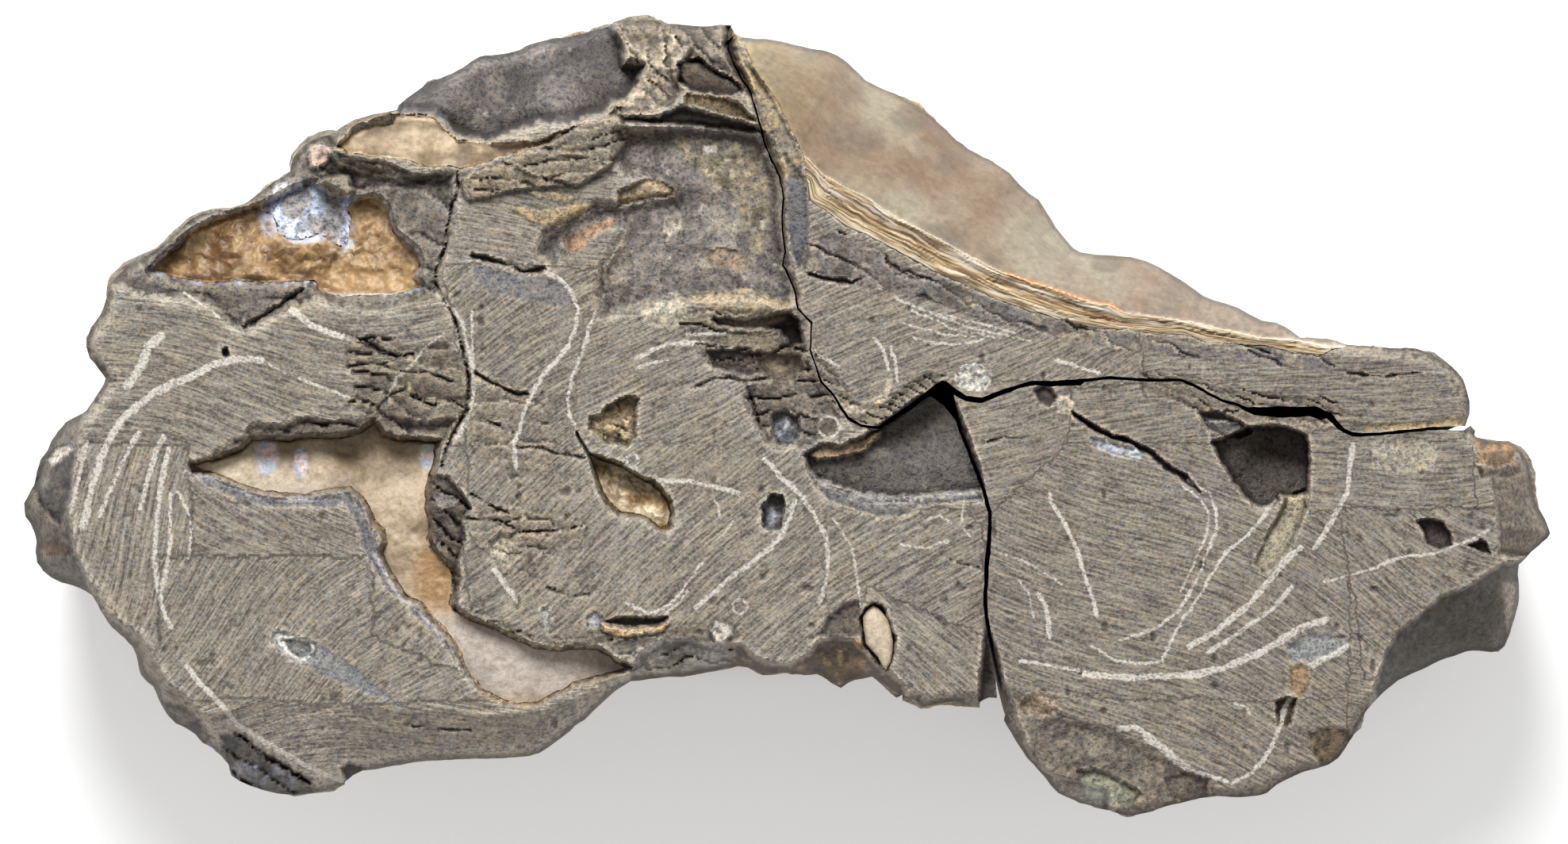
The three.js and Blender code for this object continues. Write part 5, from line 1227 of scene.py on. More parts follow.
def meshPoints(ring, spacingMm, features=None, fromX=-beyondMm, toX=beyondMm):
    low, high = ring.min(0), ring.max(0)
    rows = np.arange(low[1], high[1], spacingMm * 0.866)
    columns = np.arange(low[0], high[0], spacingMm)
    x, y = np.meshgrid(columns, rows)
    x = x + (np.arange(len(rows)) % 2)[:, None] * spacingMm / 2
    net = np.column_stack([x.ravel(), y.ravel()])
    net += 0.18 * spacingMm * np.column_stack([flatNoise(net, 0.07, 71), flatNoise(net, 0.07, 72)])
    net = net[(net[:, 0] >= fromX) & (net[:, 0] < toX)]
    net = net[depthInsideFast(net, ring) > 0.55 * spacingMm]
    if features is None:
        return net
    features = thinned(features, spacingMm * 0.55)
    features = features[nearRing(features, ring, 0.0)]
    features = features[(features[:, 0] >= fromX) & (features[:, 0] < toX)]
    features = features[depthInsideFast(features, ring) > 0.45 * spacingMm]
    cell = spacingMm * 0.6
    taken = set()
    for i, j in np.floor(features / cell).astype(np.int64):
        taken.add((int(i), int(j)))
    keys = np.floor(net / cell).astype(np.int64)
    free = np.array([(int(i), int(j)) not in taken for i, j in keys])
    return np.vstack([features, net[free]])


def depthInsideFast(points, ring):  # exact only near the ring, which is all that a margin needs
    inside = insideRing(points, ring)
    result = np.where(inside, 9.0, -9.0)
    cell = 0.5
    marked = set()
    for i, j in np.floor(resampled(ring, 0.2, True) / cell).astype(np.int64):
        for di in (-1, 0, 1):
            for dj in (-1, 0, 1):
                marked.add((int(i) + di, int(j) + dj))
    keys = np.floor(points / cell).astype(np.int64)
    near = np.flatnonzero(np.array([(int(i), int(j)) in marked for i, j in keys], bool))
    if len(near):
        distance = lineDistance(points[near], ring, True)
        result[near] = np.where(inside[near], distance, -distance)
    return result


def triangulated(ring, inner):  # triangles of the ring with its inner points, ring first
    every = np.vstack([ring, inner])
    count = len(ring)
    edges = [(i, (i + 1) % count) for i in range(count)]
    corners = [tuple(p) for p in every]
    found, unused, faces, origins, unused, unused = delaunay_2d_cdt(corners, edges, [], 0, 1e-6)
    source = np.array([origin[0] if len(origin) else -1 for origin in origins])
    faces = np.array([face for face in faces if len(face) == 3])
    faces = faces[(source[faces] >= 0).all(1)]
    places = np.array([tuple(p) for p in found])
    middle = places[faces].mean(1)
    faces = source[faces[insideRing(middle, ring)]]
    a, b, c = every[faces[:, 0]], every[faces[:, 1]], every[faces[:, 2]]
    turn = (b[:, 0] - a[:, 0]) * (c[:, 1] - a[:, 1]) - (b[:, 1] - a[:, 1]) * (c[:, 0] - a[:, 0])
    faces[turn < 0] = faces[turn < 0][:, ::-1]
    return every, faces


def widestLevel(points):  # height of the widest level round the edge
    x, y = points[:, 0], points[:, 1]
    flank = smoothStep(x, -6, 0) * smoothStep(-x, -34, -26) * smoothStep(y, -2, 6)
    mould = smoothStep(x, -30, -22) * smoothStep(-x, 2, 8) * smoothStep(y, 12, 16)
    return 15.5 - 4.5 * flank - mould


def spineHeight(x):
    line = plan(spineLine)
    return np.interp(x, line[:, 0], line[:, 1])


def asSeen(points, height):  # plan place of a point that the camera sees over the given one
    growth = (stone["viewDistanceMm"] + stone["faceHeightMm"] - height) / stone["viewDistanceMm"]
    return sight + (points - sight) * growth[:, None]


def makeMesh(name, places, faces, attributes, material, smoothAngle=38.0):
    mesh = bpy.data.meshes.new(name)
    mesh.from_pydata((places / 1000.0).tolist(), [], faces.tolist())
    mesh.validate()
    for key, values in attributes.items():
        if key == "tint":
            layer = mesh.color_attributes.new(key, "FLOAT_COLOR", "POINT")
            rgba = np.column_stack([values, np.ones(len(values))]).astype(np.float32)
            layer.data.foreach_set("color", rgba.ravel())
        else:
            layer = mesh.attributes.new(key, "FLOAT_VECTOR", "POINT")
            layer.data.foreach_set("vector", values.astype(np.float32).ravel())
    mesh.shade_smooth()
    mesh.set_sharp_from_angle(angle=math.radians(smoothAngle))
    mesh.materials.append(material)
    piece = bpy.data.objects.new(name, mesh)
    bpy.context.scene.collection.objects.link(piece)
    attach(piece, "root")
    return piece


def sheetLowering(points):  # the rock lies lower under each sheet
    moved = points + wander(points)
    lower = np.zeros(len(points))
    for sheet in sheetOutlines.values():
        ring = plan(sheet["outline"])
        chosen = nearRing(points, ring, 0.5)
        inside = depthInside(moved[chosen], ring)
        seat = smoothStep(inside, -0.03, 0.16) * (sheet["thickMm"] + sheetClearanceMm)
        lower[chosen] = np.maximum(lower[chosen], seat)
    return lower


sideLook = {
    "cool": (100, 94, 86), "warm": (132, 122, 107), "stain": (128, 104, 74), "tan": (150, 132, 104),
    "slabs": (84, 4.6, 0.4),
}


# The broken sides: large facets, worn layers and rough grain.
def wallRelief(around, places):
    spread = np.column_stack([around, places[:, 2]]) + wander(places[:, :2] + places[:, 2:] * 0.7)
    large = crystalField(spread * np.array([0.75, 1.0]), 6.5, 403)[0]
    small = crystalField(spread, 1.8, 409)[0]
    lift, shade = slabRelief(spread, sideLook["slabs"], 402)
    grain = 0.18 * softNoise(places, 1.8, 91, 3) + 0.12 * (1 - 2 * np.abs(softNoise(places, 1.2, 95, 2)))
    dents = 0.45 * smoothStep(softNoise(places, 6.0, 98, 2), 0.0, 0.5)
    return np.minimum(0.28 * large + 0.3 * small + 0.6 * lift + grain - dents - 0.5, 0.35), 0.5 * shade


def wallTint(places):
    share = np.clip(0.5 + 1.4 * softNoise(places, 5.0, 405, 3), 0.0, 1.0)[:, None]
    colour = paint(*sideLook["cool"]) * (1 - share) + paint(*sideLook["warm"]) * share
    stained = smoothStep(softNoise(places, 4.0, 407, 3), 0.22, 0.5)[:, None]
    return colour + 0.5 * stained * (paint(*sideLook["stain"]) - colour)


# A block of rock: the worked face, walls that follow the outline down, and a flat seat.
def makeBlock(name, outlinePx, outerCount, spans, material):
    outer = resampled(plan(outlinePx[:outerCount]), stone["rimSpacingMm"], False)
    crackLine = plan([outlinePx[outerCount - 1]] + outlinePx[outerCount:] + [outlinePx[0]])
    cracks = resampled(crackLine, stone["rimSpacingMm"], False)[1:-1]
    ring = np.vstack([outer, cracks])
    isOuter = np.arange(len(ring)) < len(outer)
    rough = 0.05 * flatNoise(ring, 0.6, 81) + 0.04 * flatNoise(ring, 1.4, 82)
    outward = acrossRing(ring)
    ring = ring + outward * (rough * isOuter)[:, None] + 0.5 * wander(ring) * ~isOuter[:, None]
    inner = [meshPoints(ring, spacing, features, fromX, toX) for spacing, fromX, toX in spans]
    every, faces = triangulated(ring, np.vstack(inner))
    face = faceAt(every)
    places = strokePlaces(every)
    shell, split, splitDepth = linesAt(every)
    height = face["height"] - sheetLowering(every) - splitDepth
    height += 0.06 * face["stroke"] * strokeRelief(places) + 0.03 * flatNoise(every, 0.36, 63, 2)
    height += 0.02 * smoothStep(shell, -0.05, 0.05)
    # Painted shade in the face's hollows and painted highlight on its raised parts.
    face["colour"] *= paintedShadingTone(height, faces, len(every))[:, None]
    top = np.column_stack([asSeen(every, height), height])
    finish = np.column_stack([face["stroke"], face["rough"], np.zeros(len(every))])
    lines = np.column_stack([shell, split, np.zeros(len(every))])

    count = len(ring)
    levels = stone["wallLevels"]
    level = np.repeat(np.arange(1.0, levels + 1), count)
    first = np.tile(np.arange(count), levels)
    base, isSide = ring[first], isOuter[first]
    widest = widestLevel(base)
    z = height[first] * (1.0 - (level / levels) ** 1.4)
    pull = stone["baseInset"] * (1.0 - np.sqrt(1.0 - (1.0 - np.clip(z / widest, 0.0, 1.0)) ** 2))
    inset = np.column_stack([base[:, 0] * (1.0 - stone["endInset"] * pull),
                             base[:, 1] + (spineHeight(base[:, 0]) - base[:, 1]) * pull])
    solid = np.column_stack([asSeen(inset, np.maximum(z, widest)), z])
    around = np.cumsum(np.hypot(*(ring - np.roll(ring, 1, 0)).T))[first]
    bulge, shade = wallRelief(around, solid)
    smoothed = bulge.reshape(levels, count)
    for unused in range(3):
        across = np.roll(smoothed, 1, 1) + np.roll(smoothed, -1, 1)
        smoothed = (2 * smoothed + across + np.vstack([smoothed[:1], smoothed[:-1]])
                    + np.vstack([smoothed[1:], smoothed[-1:]])) / 6.0
    # Painted shade where the wall lies back and painted highlight where it stands out.
    paintedShading = 1.0 + 0.45 * np.tanh((bulge - smoothed.ravel()) / 0.07)
    away = smoothStep(level, 0.0, 5.0) * np.where(level == levels, 0.25, 1.0)
    solid[:, :2] += outward[first] * (bulge * away * isSide)[:, None]
    tanSide = smoothStep(base[:, 0], 0.0, 3.0) * smoothStep(-base[:, 0], -36.0, -32.0)
    tanSide = tanSide * smoothStep(base[:, 1], 2, 6)
    wallColour = wallTint(solid)
    wallColour += (0.8 * tanSide * isSide)[:, None] * (paint(*sideLook["tan"]) - wallColour)
    mix = smoothStep(level, 0.0, 4.0)[:, None]
    tint = face["colour"][first] * (1 - mix) + wallColour * mix
    # Outer walls take that painted shading and the painted shade of the slab grooves; crack walls are
    # darkened to three quarters as painted shade between the blocks.
    tint *= np.where(isSide, 1.0 + mix[:, 0] * (paintedShading * (1.0 + shade) - 1.0), 0.75)[:, None]
    none = np.zeros(len(level))
    wallFinish = np.column_stack([none, none + 0.8, none])
    wallLines = np.column_stack([none - 1.0, none - 1.0, none])
    rows = [np.arange(count)] + [len(every) + k * count + np.arange(count) for k in range(levels)]
    wallFaces = []
    for upper, lower in zip(rows[:-1], rows[1:]):
        a, b = upper, np.roll(upper, -1)
        c, d = np.roll(lower, -1), lower
        wallFaces.append(np.column_stack([a, b, c]))
        wallFaces.append(np.column_stack([a, c, d]))
    walls = np.vstack(wallFaces)
    unused, baseFaces = triangulated(solid[-count:, :2], np.zeros((0, 2)))
    seat = rows[-1][baseFaces][:, ::-1]
    if ringArea(ring) > 0:
        walls = walls[:, ::-1]
    attributes = {"tint": np.vstack([face["colour"], tint]), "finish": np.vstack([finish, wallFinish]),
                  "lines": np.vstack([lines, wallLines]), "strokePlace": np.vstack([places, solid])}
    piece = makeMesh(name, np.vstack([top, solid]), np.vstack([faces, walls, seat]), attributes, material)
    print(name, len(piece.data.polygons), "triangles")
    return piece


def ringArea(ring):
    x, y = ring[:, 0], ring[:, 1]
    return 0.5 * np.sum(x * np.roll(y, -1) - y * np.roll(x, -1))


def sheetFaces(ring, faces, total):  # upper side, under side and the edge between them
    row = np.arange(len(ring))
    after = np.roll(row, -1)
    side = np.vstack([np.column_stack([row, after, after + total]),
                      np.column_stack([row, after + total, row + total])])
    if ringArea(ring) > 0:
        side = side[:, ::-1]
    return np.vstack([faces, faces[:, ::-1] + total, side])


# A sheet that lies on the rock: an upper side from the face, an under side and a thin edge.
def makeSheet(name, sheet, spacingMm, dress, material, smoothAngle=38.0):
    rim = plan(sheet["outline"])
    outline = resampled(rim, spacingMm * 1.3, True)
    toRim = depthInside(outline, rimRing)
    edge = outline
    outside = toRim < 0.02
    if outside.any():  # the sheet ends at the stone's own edge
        start = int(np.flatnonzero(outside & ~np.roll(outside, -1))[0]) + 1
        order = np.roll(np.arange(len(outline)), -start)
        kept = outline[order[~outside[order]]]
        stoneEdge = resampled(rimRing, spacingMm * 1.3, True)
        shared = insideRing(stoneEdge, rim)
        first = int(np.flatnonzero(shared & ~np.roll(shared, 1))[0])
        run = np.roll(stoneEdge, -first, 0)[: int(shared.sum())]
        if np.hypot(*(run[0] - kept[-1])) > np.hypot(*(run[-1] - kept[-1])):
            run = run[::-1]
        edge = np.vstack([kept, run])
    edge = edge - wander(edge) * (depthInside(edge, rimRing) > 0.3)[:, None]
    every, faces = triangulated(edge, meshPoints(edge, spacingMm))
    face = faceAt(every)
    look = dress(every)
    inward = smoothStep(depthInsideFast(every, edge), 0.0, 0.5)
    height = face["height"] + look["relief"] * inward + 0.03
    upper = np.column_stack([asSeen(every, height), height])
    lower = upper.copy()
    lower[:, 2] = np.minimum(face["height"], height) - sheet["thickMm"]
    total = len(every)
    # Painted shade in the sheet's hollows and painted highlight on its raised parts.
    paintedShading = paintedShadingTone(height, faces, total, sheet.get("toneReachMm", 0.08))
    colour = np.clip(look["colour"], 0.0, 1.0) * paintedShading[:, None]
    zero = np.zeros(total)
    finish = np.column_stack([look.get("pearl", zero), zero + look["rough"], zero])
    layers = look.get("layers", np.column_stack([zero, zero, zero]))
    # The under side takes the upper colour at 0.7, as painted shade under the sheet.
    attributes = {"tint": np.vstack([colour, colour * 0.7]), "finish": np.vstack([finish, finish]),
                  "layers": np.vstack([layers, layers])}
    allFaces = sheetFaces(edge, faces, total)
    piece = makeMesh(name, np.vstack([upper, lower]), allFaces, attributes, material, smoothAngle)
    print(name, len(piece.data.polygons), "triangles")
    return piece


# Small helpers for node materials.
class Finish:
    def __init__(self, name):
        self.material = bpy.data.materials.new(name)
        self.material.use_nodes = True
        self.tree = self.material.node_tree
        self.shader = self.tree.nodes["Principled BSDF"]
        self.coordinates = self.tree.nodes.new("ShaderNodeTexCoord")
        self.place = self.vector("MULTIPLY", self.coordinates.outputs["Object"], (1000.0, 1000.0, 1000.0))

    def node(self, kind, **settings):
        made = self.tree.nodes.new(kind)
        for key, value in settings.items():
            setattr(made, key, value)
        return made

    def put(self, socket, value):
        if isinstance(value, bpy.types.NodeSocket):
            self.tree.links.new(value, socket)
        elif isinstance(value, (tuple, list)) and len(value) == 3 and socket.type == "RGBA":
            socket.default_value = (*value, 1.0)
        else:
            socket.default_value = value

    def math(self, operation, first, second=0.0, third=0.0, clamp=False):
        made = self.node("ShaderNodeMath", operation=operation, use_clamp=clamp)
        for socket, value in zip(made.inputs, (first, second, third)):
            self.put(socket, value)
        return made.outputs[0]

    def vector(self, operation, first, second):
        made = self.node("ShaderNodeVectorMath", operation=operation)
        self.put(made.inputs[0], first)
        self.put(made.inputs[1], second)
        return made.outputs[0]

    def noise(self, place, scale, detail=3.0, rough=0.55):
        made = self.node("ShaderNodeTexNoise")
        self.put(made.inputs["Vector"], place)
        made.inputs["Scale"].default_value = scale
        made.inputs["Detail"].default_value = detail
        made.inputs["Roughness"].default_value = rough
        return made.outputs["Fac"]

    def span(self, value, low, high, toLow=0.0, toHigh=1.0):
        made = self.node("ShaderNodeMapRange", clamp=True)
        for socket, given in zip(made.inputs[:5], (value, low, high, toLow, toHigh)):
            self.put(socket, given)
        return made.outputs["Result"]

    def parts(self, vector):
        made = self.node("ShaderNodeSeparateXYZ")
        self.put(made.inputs[0], vector)
        return made.outputs[0], made.outputs[1], made.outputs[2]

    def weighted(self, *terms):
        total = 0.0
        for weight, value in terms:
            total = self.math("MULTIPLY_ADD", value, weight, total)
        return total

    def mixed(self, share, first, second):
        made = self.node("ShaderNodeMix", data_type="FLOAT")
        for number, value in ((0, share), (2, first), (3, second)):
            self.put(made.inputs[number], value)
        return made.outputs[0]

    def blend(self, share, first, second, mode="MIX"):
        made = self.node("ShaderNodeMix", data_type="RGBA", blend_type=mode, clamp_factor=True)
        colours = [socket for socket in made.inputs if socket.type == "RGBA"]
        self.put(made.inputs[0], share)
        self.put(colours[0], first)
        self.put(colours[1], second)
        return [socket for socket in made.outputs if socket.type == "RGBA"][0]

    def attribute(self, name):
        return self.node("ShaderNodeAttribute", attribute_name=name)

    def bump(self, height, distanceMm, strength=1.0):
        made = self.node("ShaderNodeBump")
        made.inputs["Distance"].default_value = distanceMm / 1000.0
        made.inputs["Strength"].default_value = strength
        self.put(made.inputs["Height"], height)
        return made.outputs["Normal"]

    def close(self, colour, rough, normal, specular=0.4):
        self.put(self.shader.inputs["Base Color"], colour)
        self.put(self.shader.inputs["Roughness"], rough)
        self.put(self.shader.inputs["Normal"], normal)
        self.shader.inputs["Specular IOR Level"].default_value = specular
        return self.material


rockLook = {
    "strokeScale": (0.5, 5.2, 1.0), "hairScale": (1.7, 10.0, 1.0), "grainPerMm": 4.6, "speckPerMm": 2.6,
    "huePerMm": 2.6, "dark": (0.38, 0.37, 0.37), "light": (1.66, 1.62, 1.54), "cool": (0.93, 0.99, 1.07),
    "warm": (1.06, 1.0, 0.9), "shellColour": (0.58, 0.54, 0.48), "crackShadowColour": (0.035, 0.030, 0.026),
    "bumpMm": 0.17,
}


def groundRock():
    look = Finish("groundRock")
    tint = look.attribute("tint").outputs["Color"]
    finish = look.parts(look.attribute("finish").outputs["Vector"])
    lines = look.parts(look.attribute("lines").outputs["Vector"])
    strokePlace = look.attribute("strokePlace").outputs["Vector"]
    strokes = look.noise(look.vector("MULTIPLY", strokePlace, rockLook["strokeScale"]), 1.0, 3.0, 0.55)
    hair = look.noise(look.vector("MULTIPLY", strokePlace, rockLook["hairScale"]), 1.0, 2.0, 0.6)
    grain = look.noise(look.place, rockLook["grainPerMm"], 2.0, 0.75)
    speck = look.noise(look.place, rockLook["speckPerMm"], 4.0, 0.7)
    worked = look.weighted((0.46, strokes), (0.16, hair), (0.38, grain))
    broken = look.weighted((0.55, speck), (0.45, grain))
    upright = look.parts(look.coordinates.outputs["Normal"])[2]
    ground = look.math("MULTIPLY", finish[0], look.span(upright, 0.55, 0.85))
    pattern = look.mixed(ground, broken, worked)
    dark = look.span(pattern, 0.5, 0.4)
    light = look.span(pattern, 0.5, 0.6)
    lightShare = look.math("MULTIPLY", light, look.mixed(ground, 0.55, 1.0))
    factor = look.blend(dark, (1.0, 1.0, 1.0), rockLook["dark"])
    factor = look.blend(lightShare, factor, rockLook["light"])
    colour = look.blend(1.0, tint, factor, "MULTIPLY")
    hue = look.noise(look.place, rockLook["huePerMm"], 2.0, 0.7)
    for cast, low, high in (("cool", 0.46, 0.38), ("warm", 0.54, 0.62)):
        turned = look.blend(1.0, colour, rockLook[cast], "MULTIPLY")
        colour = look.blend(look.span(hue, low, high), colour, turned)
    ragged = look.math("SUBTRACT", look.noise(look.place, 4.0, 3.0), 0.5)
    shellEdge = look.math("MULTIPLY_ADD", ragged, 0.36, lines[0])
    patchy = look.span(grain, 0.4, 0.54, 0.35, 0.92)
    shellMask = look.math("MULTIPLY", look.span(shellEdge, -0.03, 0.05), patchy)
    colour = look.blend(shellMask, colour, rockLook["shellColour"])
    # Hairline cracks are painted near black: painted shade inside the crack.
    crackShadowEdge = look.math("MULTIPLY_ADD", ragged, 0.3, lines[1])
    colour = look.blend(look.span(crackShadowEdge, -0.02, 0.06, 0.0, 0.78), colour, rockLook["crackShadowColour"])
    relief = look.weighted((1.0, pattern), (0.25, grain))
    normal = look.bump(relief, rockLook["bumpMm"], 1.0)
    roughness = look.math("MULTIPLY", finish[1], look.span(grain, 0.3, 0.7, 0.85, 1.15), clamp=True)
    return look.close(colour, roughness, normal, 0.3)


layerLook = {"dark": (0.15, 0.10, 0.06), "golden": (0.44, 0.35, 0.22), "pale": (0.60, 0.56, 0.49)}
pearlLook = {"blue": (0.42, 0.55, 0.78), "pink": (0.80, 0.62, 0.66), "green": (0.46, 0.66, 0.52)}


def paintedStone(name, grainScale, grainMm, contrast, specular):
    look = Finish(name)
    tint = look.attribute("tint").outputs["Color"]
    finish = look.parts(look.attribute("finish").outputs["Vector"])
    layerPlace = look.attribute("layers").outputs["Vector"]
    mottle = look.noise(look.place, grainScale * 0.4, 4.0, 0.65)
    grain = look.noise(look.place, grainScale, 4.0, 0.7)
    pattern = look.weighted((0.5, mottle), (0.5, grain))
    factor = look.blend(look.span(pattern, 0.4, 0.6), (1 - contrast,) * 3, (1 + contrast,) * 3)
    colour = look.blend(1.0, tint, factor, "MULTIPLY")
    laminae = look.noise(layerPlace, 1.0, 3.0, 0.6)
    golden = look.blend(look.span(laminae, 0.42, 0.53), layerLook["dark"], layerLook["golden"])
    golden = look.blend(look.span(laminae, 0.52, 0.6), golden, layerLook["pale"])
    golden = look.blend(1.0, golden, tint, "MULTIPLY")
    inBand = look.span(look.parts(layerPlace)[2], 0.4, 0.6)
    colour = look.blend(inBand, colour, golden)
    hue = look.noise(look.place, 0.8, 2.0)
    pearl = look.blend(look.span(hue, 0.42, 0.52), pearlLook["blue"], pearlLook["pink"])
    pearl = look.blend(look.span(hue, 0.55, 0.62), pearl, pearlLook["green"])
    colour = look.blend(look.math("MULTIPLY", finish[0], look.span(grain, 0.4, 0.6, 0.4, 1.0)), colour, pearl)
    relief = look.weighted((1.0, pattern), (1.5, look.math("MULTIPLY", laminae, inBand)))
    normal = look.bump(relief, grainMm, 1.0)
    return look.close(colour, finish[1], normal, specular)


rock = groundRock()
flankFinish = paintedStone("flankFinish", 2.4, 0.08, 0.16, 0.3)
tanShell = paintedStone("tanShell", 3.0, 0.12, 0.22, 0.3)
orangeCalcite = paintedStone("orangeCalcite", 4.5, 0.07, 0.24, 0.5)
pearlyShell = paintedStone("pearlyShell", 5.0, 0.1, 0.2, 0.5)

print("materials made")
features = featurePoints(0.22)

mainOutline = mainRim + noseOtherSide[::-1] + uprightCrackLeft
upperRightOutline = upperRightRim + longCrackUpper + noseEdge
lowerRightOutline = lowerRightRim + uprightCrackRight + longCrackLower

mainSpans = ((spacings["mainLeft"], -beyondMm, mainSplitMm), (spacings["mainRight"], mainSplitMm, beyondMm))
upperRightSpans = ((spacings["upperRight"], -beyondMm, beyondMm),)
lowerRightSpans = ((spacings["lowerRight"], -beyondMm, beyondMm),)
blockWork = (
    ("mainBlock", "main_block", mainOutline, len(mainRim), mainSpans),
    ("upperRightBlock", "upper_right_block", upperRightOutline, len(upperRightRim), upperRightSpans),
    ("lowerRightBlock", "lower_right_block", lowerRightOutline, len(lowerRightRim), lowerRightSpans),
)
for name, node, outline, outerCount, spans in blockWork:
    piece = makeBlock(name, outline, outerCount, spans, rock)
    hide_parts(node)
print("blocks made")


def drift(points, first, second, sizeMm, seed, reach=1.0):  # a colour that wanders between two
    share = np.clip(0.5 + reach * flatNoise(points, sizeMm, seed, 3), 0.0, 1.0)[:, None]
    return paint(*first) * (1 - share) + paint(*second) * share


def stain(colour, mask, tone, share=1.0):  # lays a tone over the places that the mask picks
    colour += share * mask[:, None] * (paint(*tone) - colour)


def toPx(points):
    return points / np.array([mmPerPx, -mmPerPx]) + np.array(stone["centrePx"])


def spot(px, centre, radius):
    away = np.hypot((px[:, 0] - centre[0]) / radius[0], (px[:, 1] - centre[1]) / radius[1])
    return smoothStep(-away, -1.2, -0.6)


def spots(px, places):
    return np.maximum.reduce([spot(px, centre, radius) for centre, radius in places])


# Places are in photo pixels, negative where the step runs to the left or up.
flankLook = {
    "light": (138, 128, 108), "dark": (120, 99, 78), "pale": (152, 142, 124), "olive": (124, 108, 70),
    "grey": (88, 80, 68), "lip": (150, 96, 30), "oliveX": (-1080.0, -960.0), "oliveY": (-220.0, -120.0),
    "greySpots": (((1080, 175), (40, 22)), ((1395, 333), (22, 12)), ((1150, 150), (30, 18)),
                  ((1180, 300), (40, 20))),
    "lipFromX": (1250.0, 1290.0), "lipToX": (-1425.0, -1405.0),
    "bandLevels": (0.0, 0.3, 0.55, 0.72, 0.85, 1.0),
    "bandTints": ((0.72, 0.71, 0.7), (1.0, 0.95, 0.84), (0.96, 0.84, 0.64), (0.64, 0.61, 0.6),
                  (0.98, 0.98, 1.0), (0.9, 0.8, 0.62)),
}


def dressFlank(points):  # wavy tan shell, its layers broken across along the crest
    toCrest = lineDistance(points, plan(flankCrest))
    toFoot = lineDistance(points, plan(bandFoot))
    slope = depthInside(points + 0.5 * wander(points), plan(flankCrest + slopes["flank"]["outside"]))
    onSlope = slope > 0.0
    inBand = smoothStep(-slope, -0.08, 0.08) * (points[:, 0] > 0.6)
    share = toFoot / (toFoot + toCrest + 1e-6)
    along = points @ alongFlank
    uneven = share * 9.0 + 0.3 * flatNoise(points, 0.8, 117)
    laminae = softNoise(np.column_stack([along * 0.5, uneven, 0 * along]), 1.0, 101, 2)
    across = points @ np.array([0.5, 0.86])
    grown = np.column_stack([0.5 * along, across + 0.1 * along])
    colour = drift(grown, flankLook["light"], flankLook["dark"], 2.2, 111, 1.5)
    stain(colour, smoothStep(flatNoise(grown, 1.3, 115, 3), 0.15, 0.5), flankLook["pale"], 0.4)
    px = toPx(points)
    olive = smoothStep(-px[:, 0], *flankLook["oliveX"]) * smoothStep(-px[:, 1], *flankLook["oliveY"])
    stain(colour, olive, flankLook["olive"], 0.6)
    grey = smoothStep(flatNoise(points, 1.5, 112, 2), 0.2, 0.6)
    for centre, radius in flankLook["greySpots"]:
        grey = np.maximum(grey, 1.3 * spot(px, centre, radius))
    stain(colour, np.minimum(grey, 1.2), flankLook["grey"], 0.4)
    lip = smoothStep(-toCrest, -0.3, -0.1) * onSlope
    lip = lip * smoothStep(px[:, 0], *flankLook["lipFromX"]) * smoothStep(-px[:, 0], *flankLook["lipToX"])
    stain(colour, lip, flankLook["lip"])
    waves = 0.10 * flatNoise(points, 1.4, 102, 3) + 0.12 * lip
    level = np.clip(share + 0.12 * flatNoise(points, 3.0, 114, 2), 0.0, 1.0)
    tints = np.array(flankLook["bandTints"])
    bandTint = np.column_stack([np.interp(level, flankLook["bandLevels"], tints[:, i]) for i in range(3)])
    colour += inBand[:, None] * (bandTint - colour)
    frayed = 0.5 * flatNoise(points, 2.0, 113) + 0.45 * flatNoise(points, 0.6, 116, 2)
    layers = np.column_stack([along * 0.3, share * 12.0 + frayed, inBand])
    relief = 0.3 * laminae * inBand + waves * (1.0 - inBand)
    return {"relief": relief, "colour": colour, "rough": 0.6, "layers": layers}


flakeLook = {"dark": (128, 110, 88), "light": (170, 152, 126)}


def dressFlake(points):
    stretched = np.column_stack([points[:, 0] * 0.3, points[:, 1], 0 * points[:, 0]])
    streaks = softNoise(stretched, 0.5, 121, 3)
    colour = drift(points, flakeLook["dark"], flakeLook["light"], 1.3, 122, 1.8)
    colour *= 1.0 + 0.4 * streaks[:, None]
    relief = 0.12 * streaks + 0.1 * flatNoise(points, 1.4, 123, 2)
    return {"relief": relief, "colour": colour, "rough": 0.6}


crustLook = {
    "brown": (108, 79, 47), "sand": (160, 131, 94), "gold": (178, 148, 104), "goldX": (425.0, 470.0),
    "honey": (190, 166, 130), "rust": (92, 60, 30), "smooth": (164, 130, 86), "nacre": (196, 198, 210),
    "pale": (200, 194, 180), "paleY": (366.0, 372.0), "paleX": (395.0, 410.0),
    "smoothAt": ((455, 358), (70, 22)),
    "nacreAt": (((348, 280), (24, 20)), ((384, 296), (34, 12)), ((434, 296), (14, 26))),
}


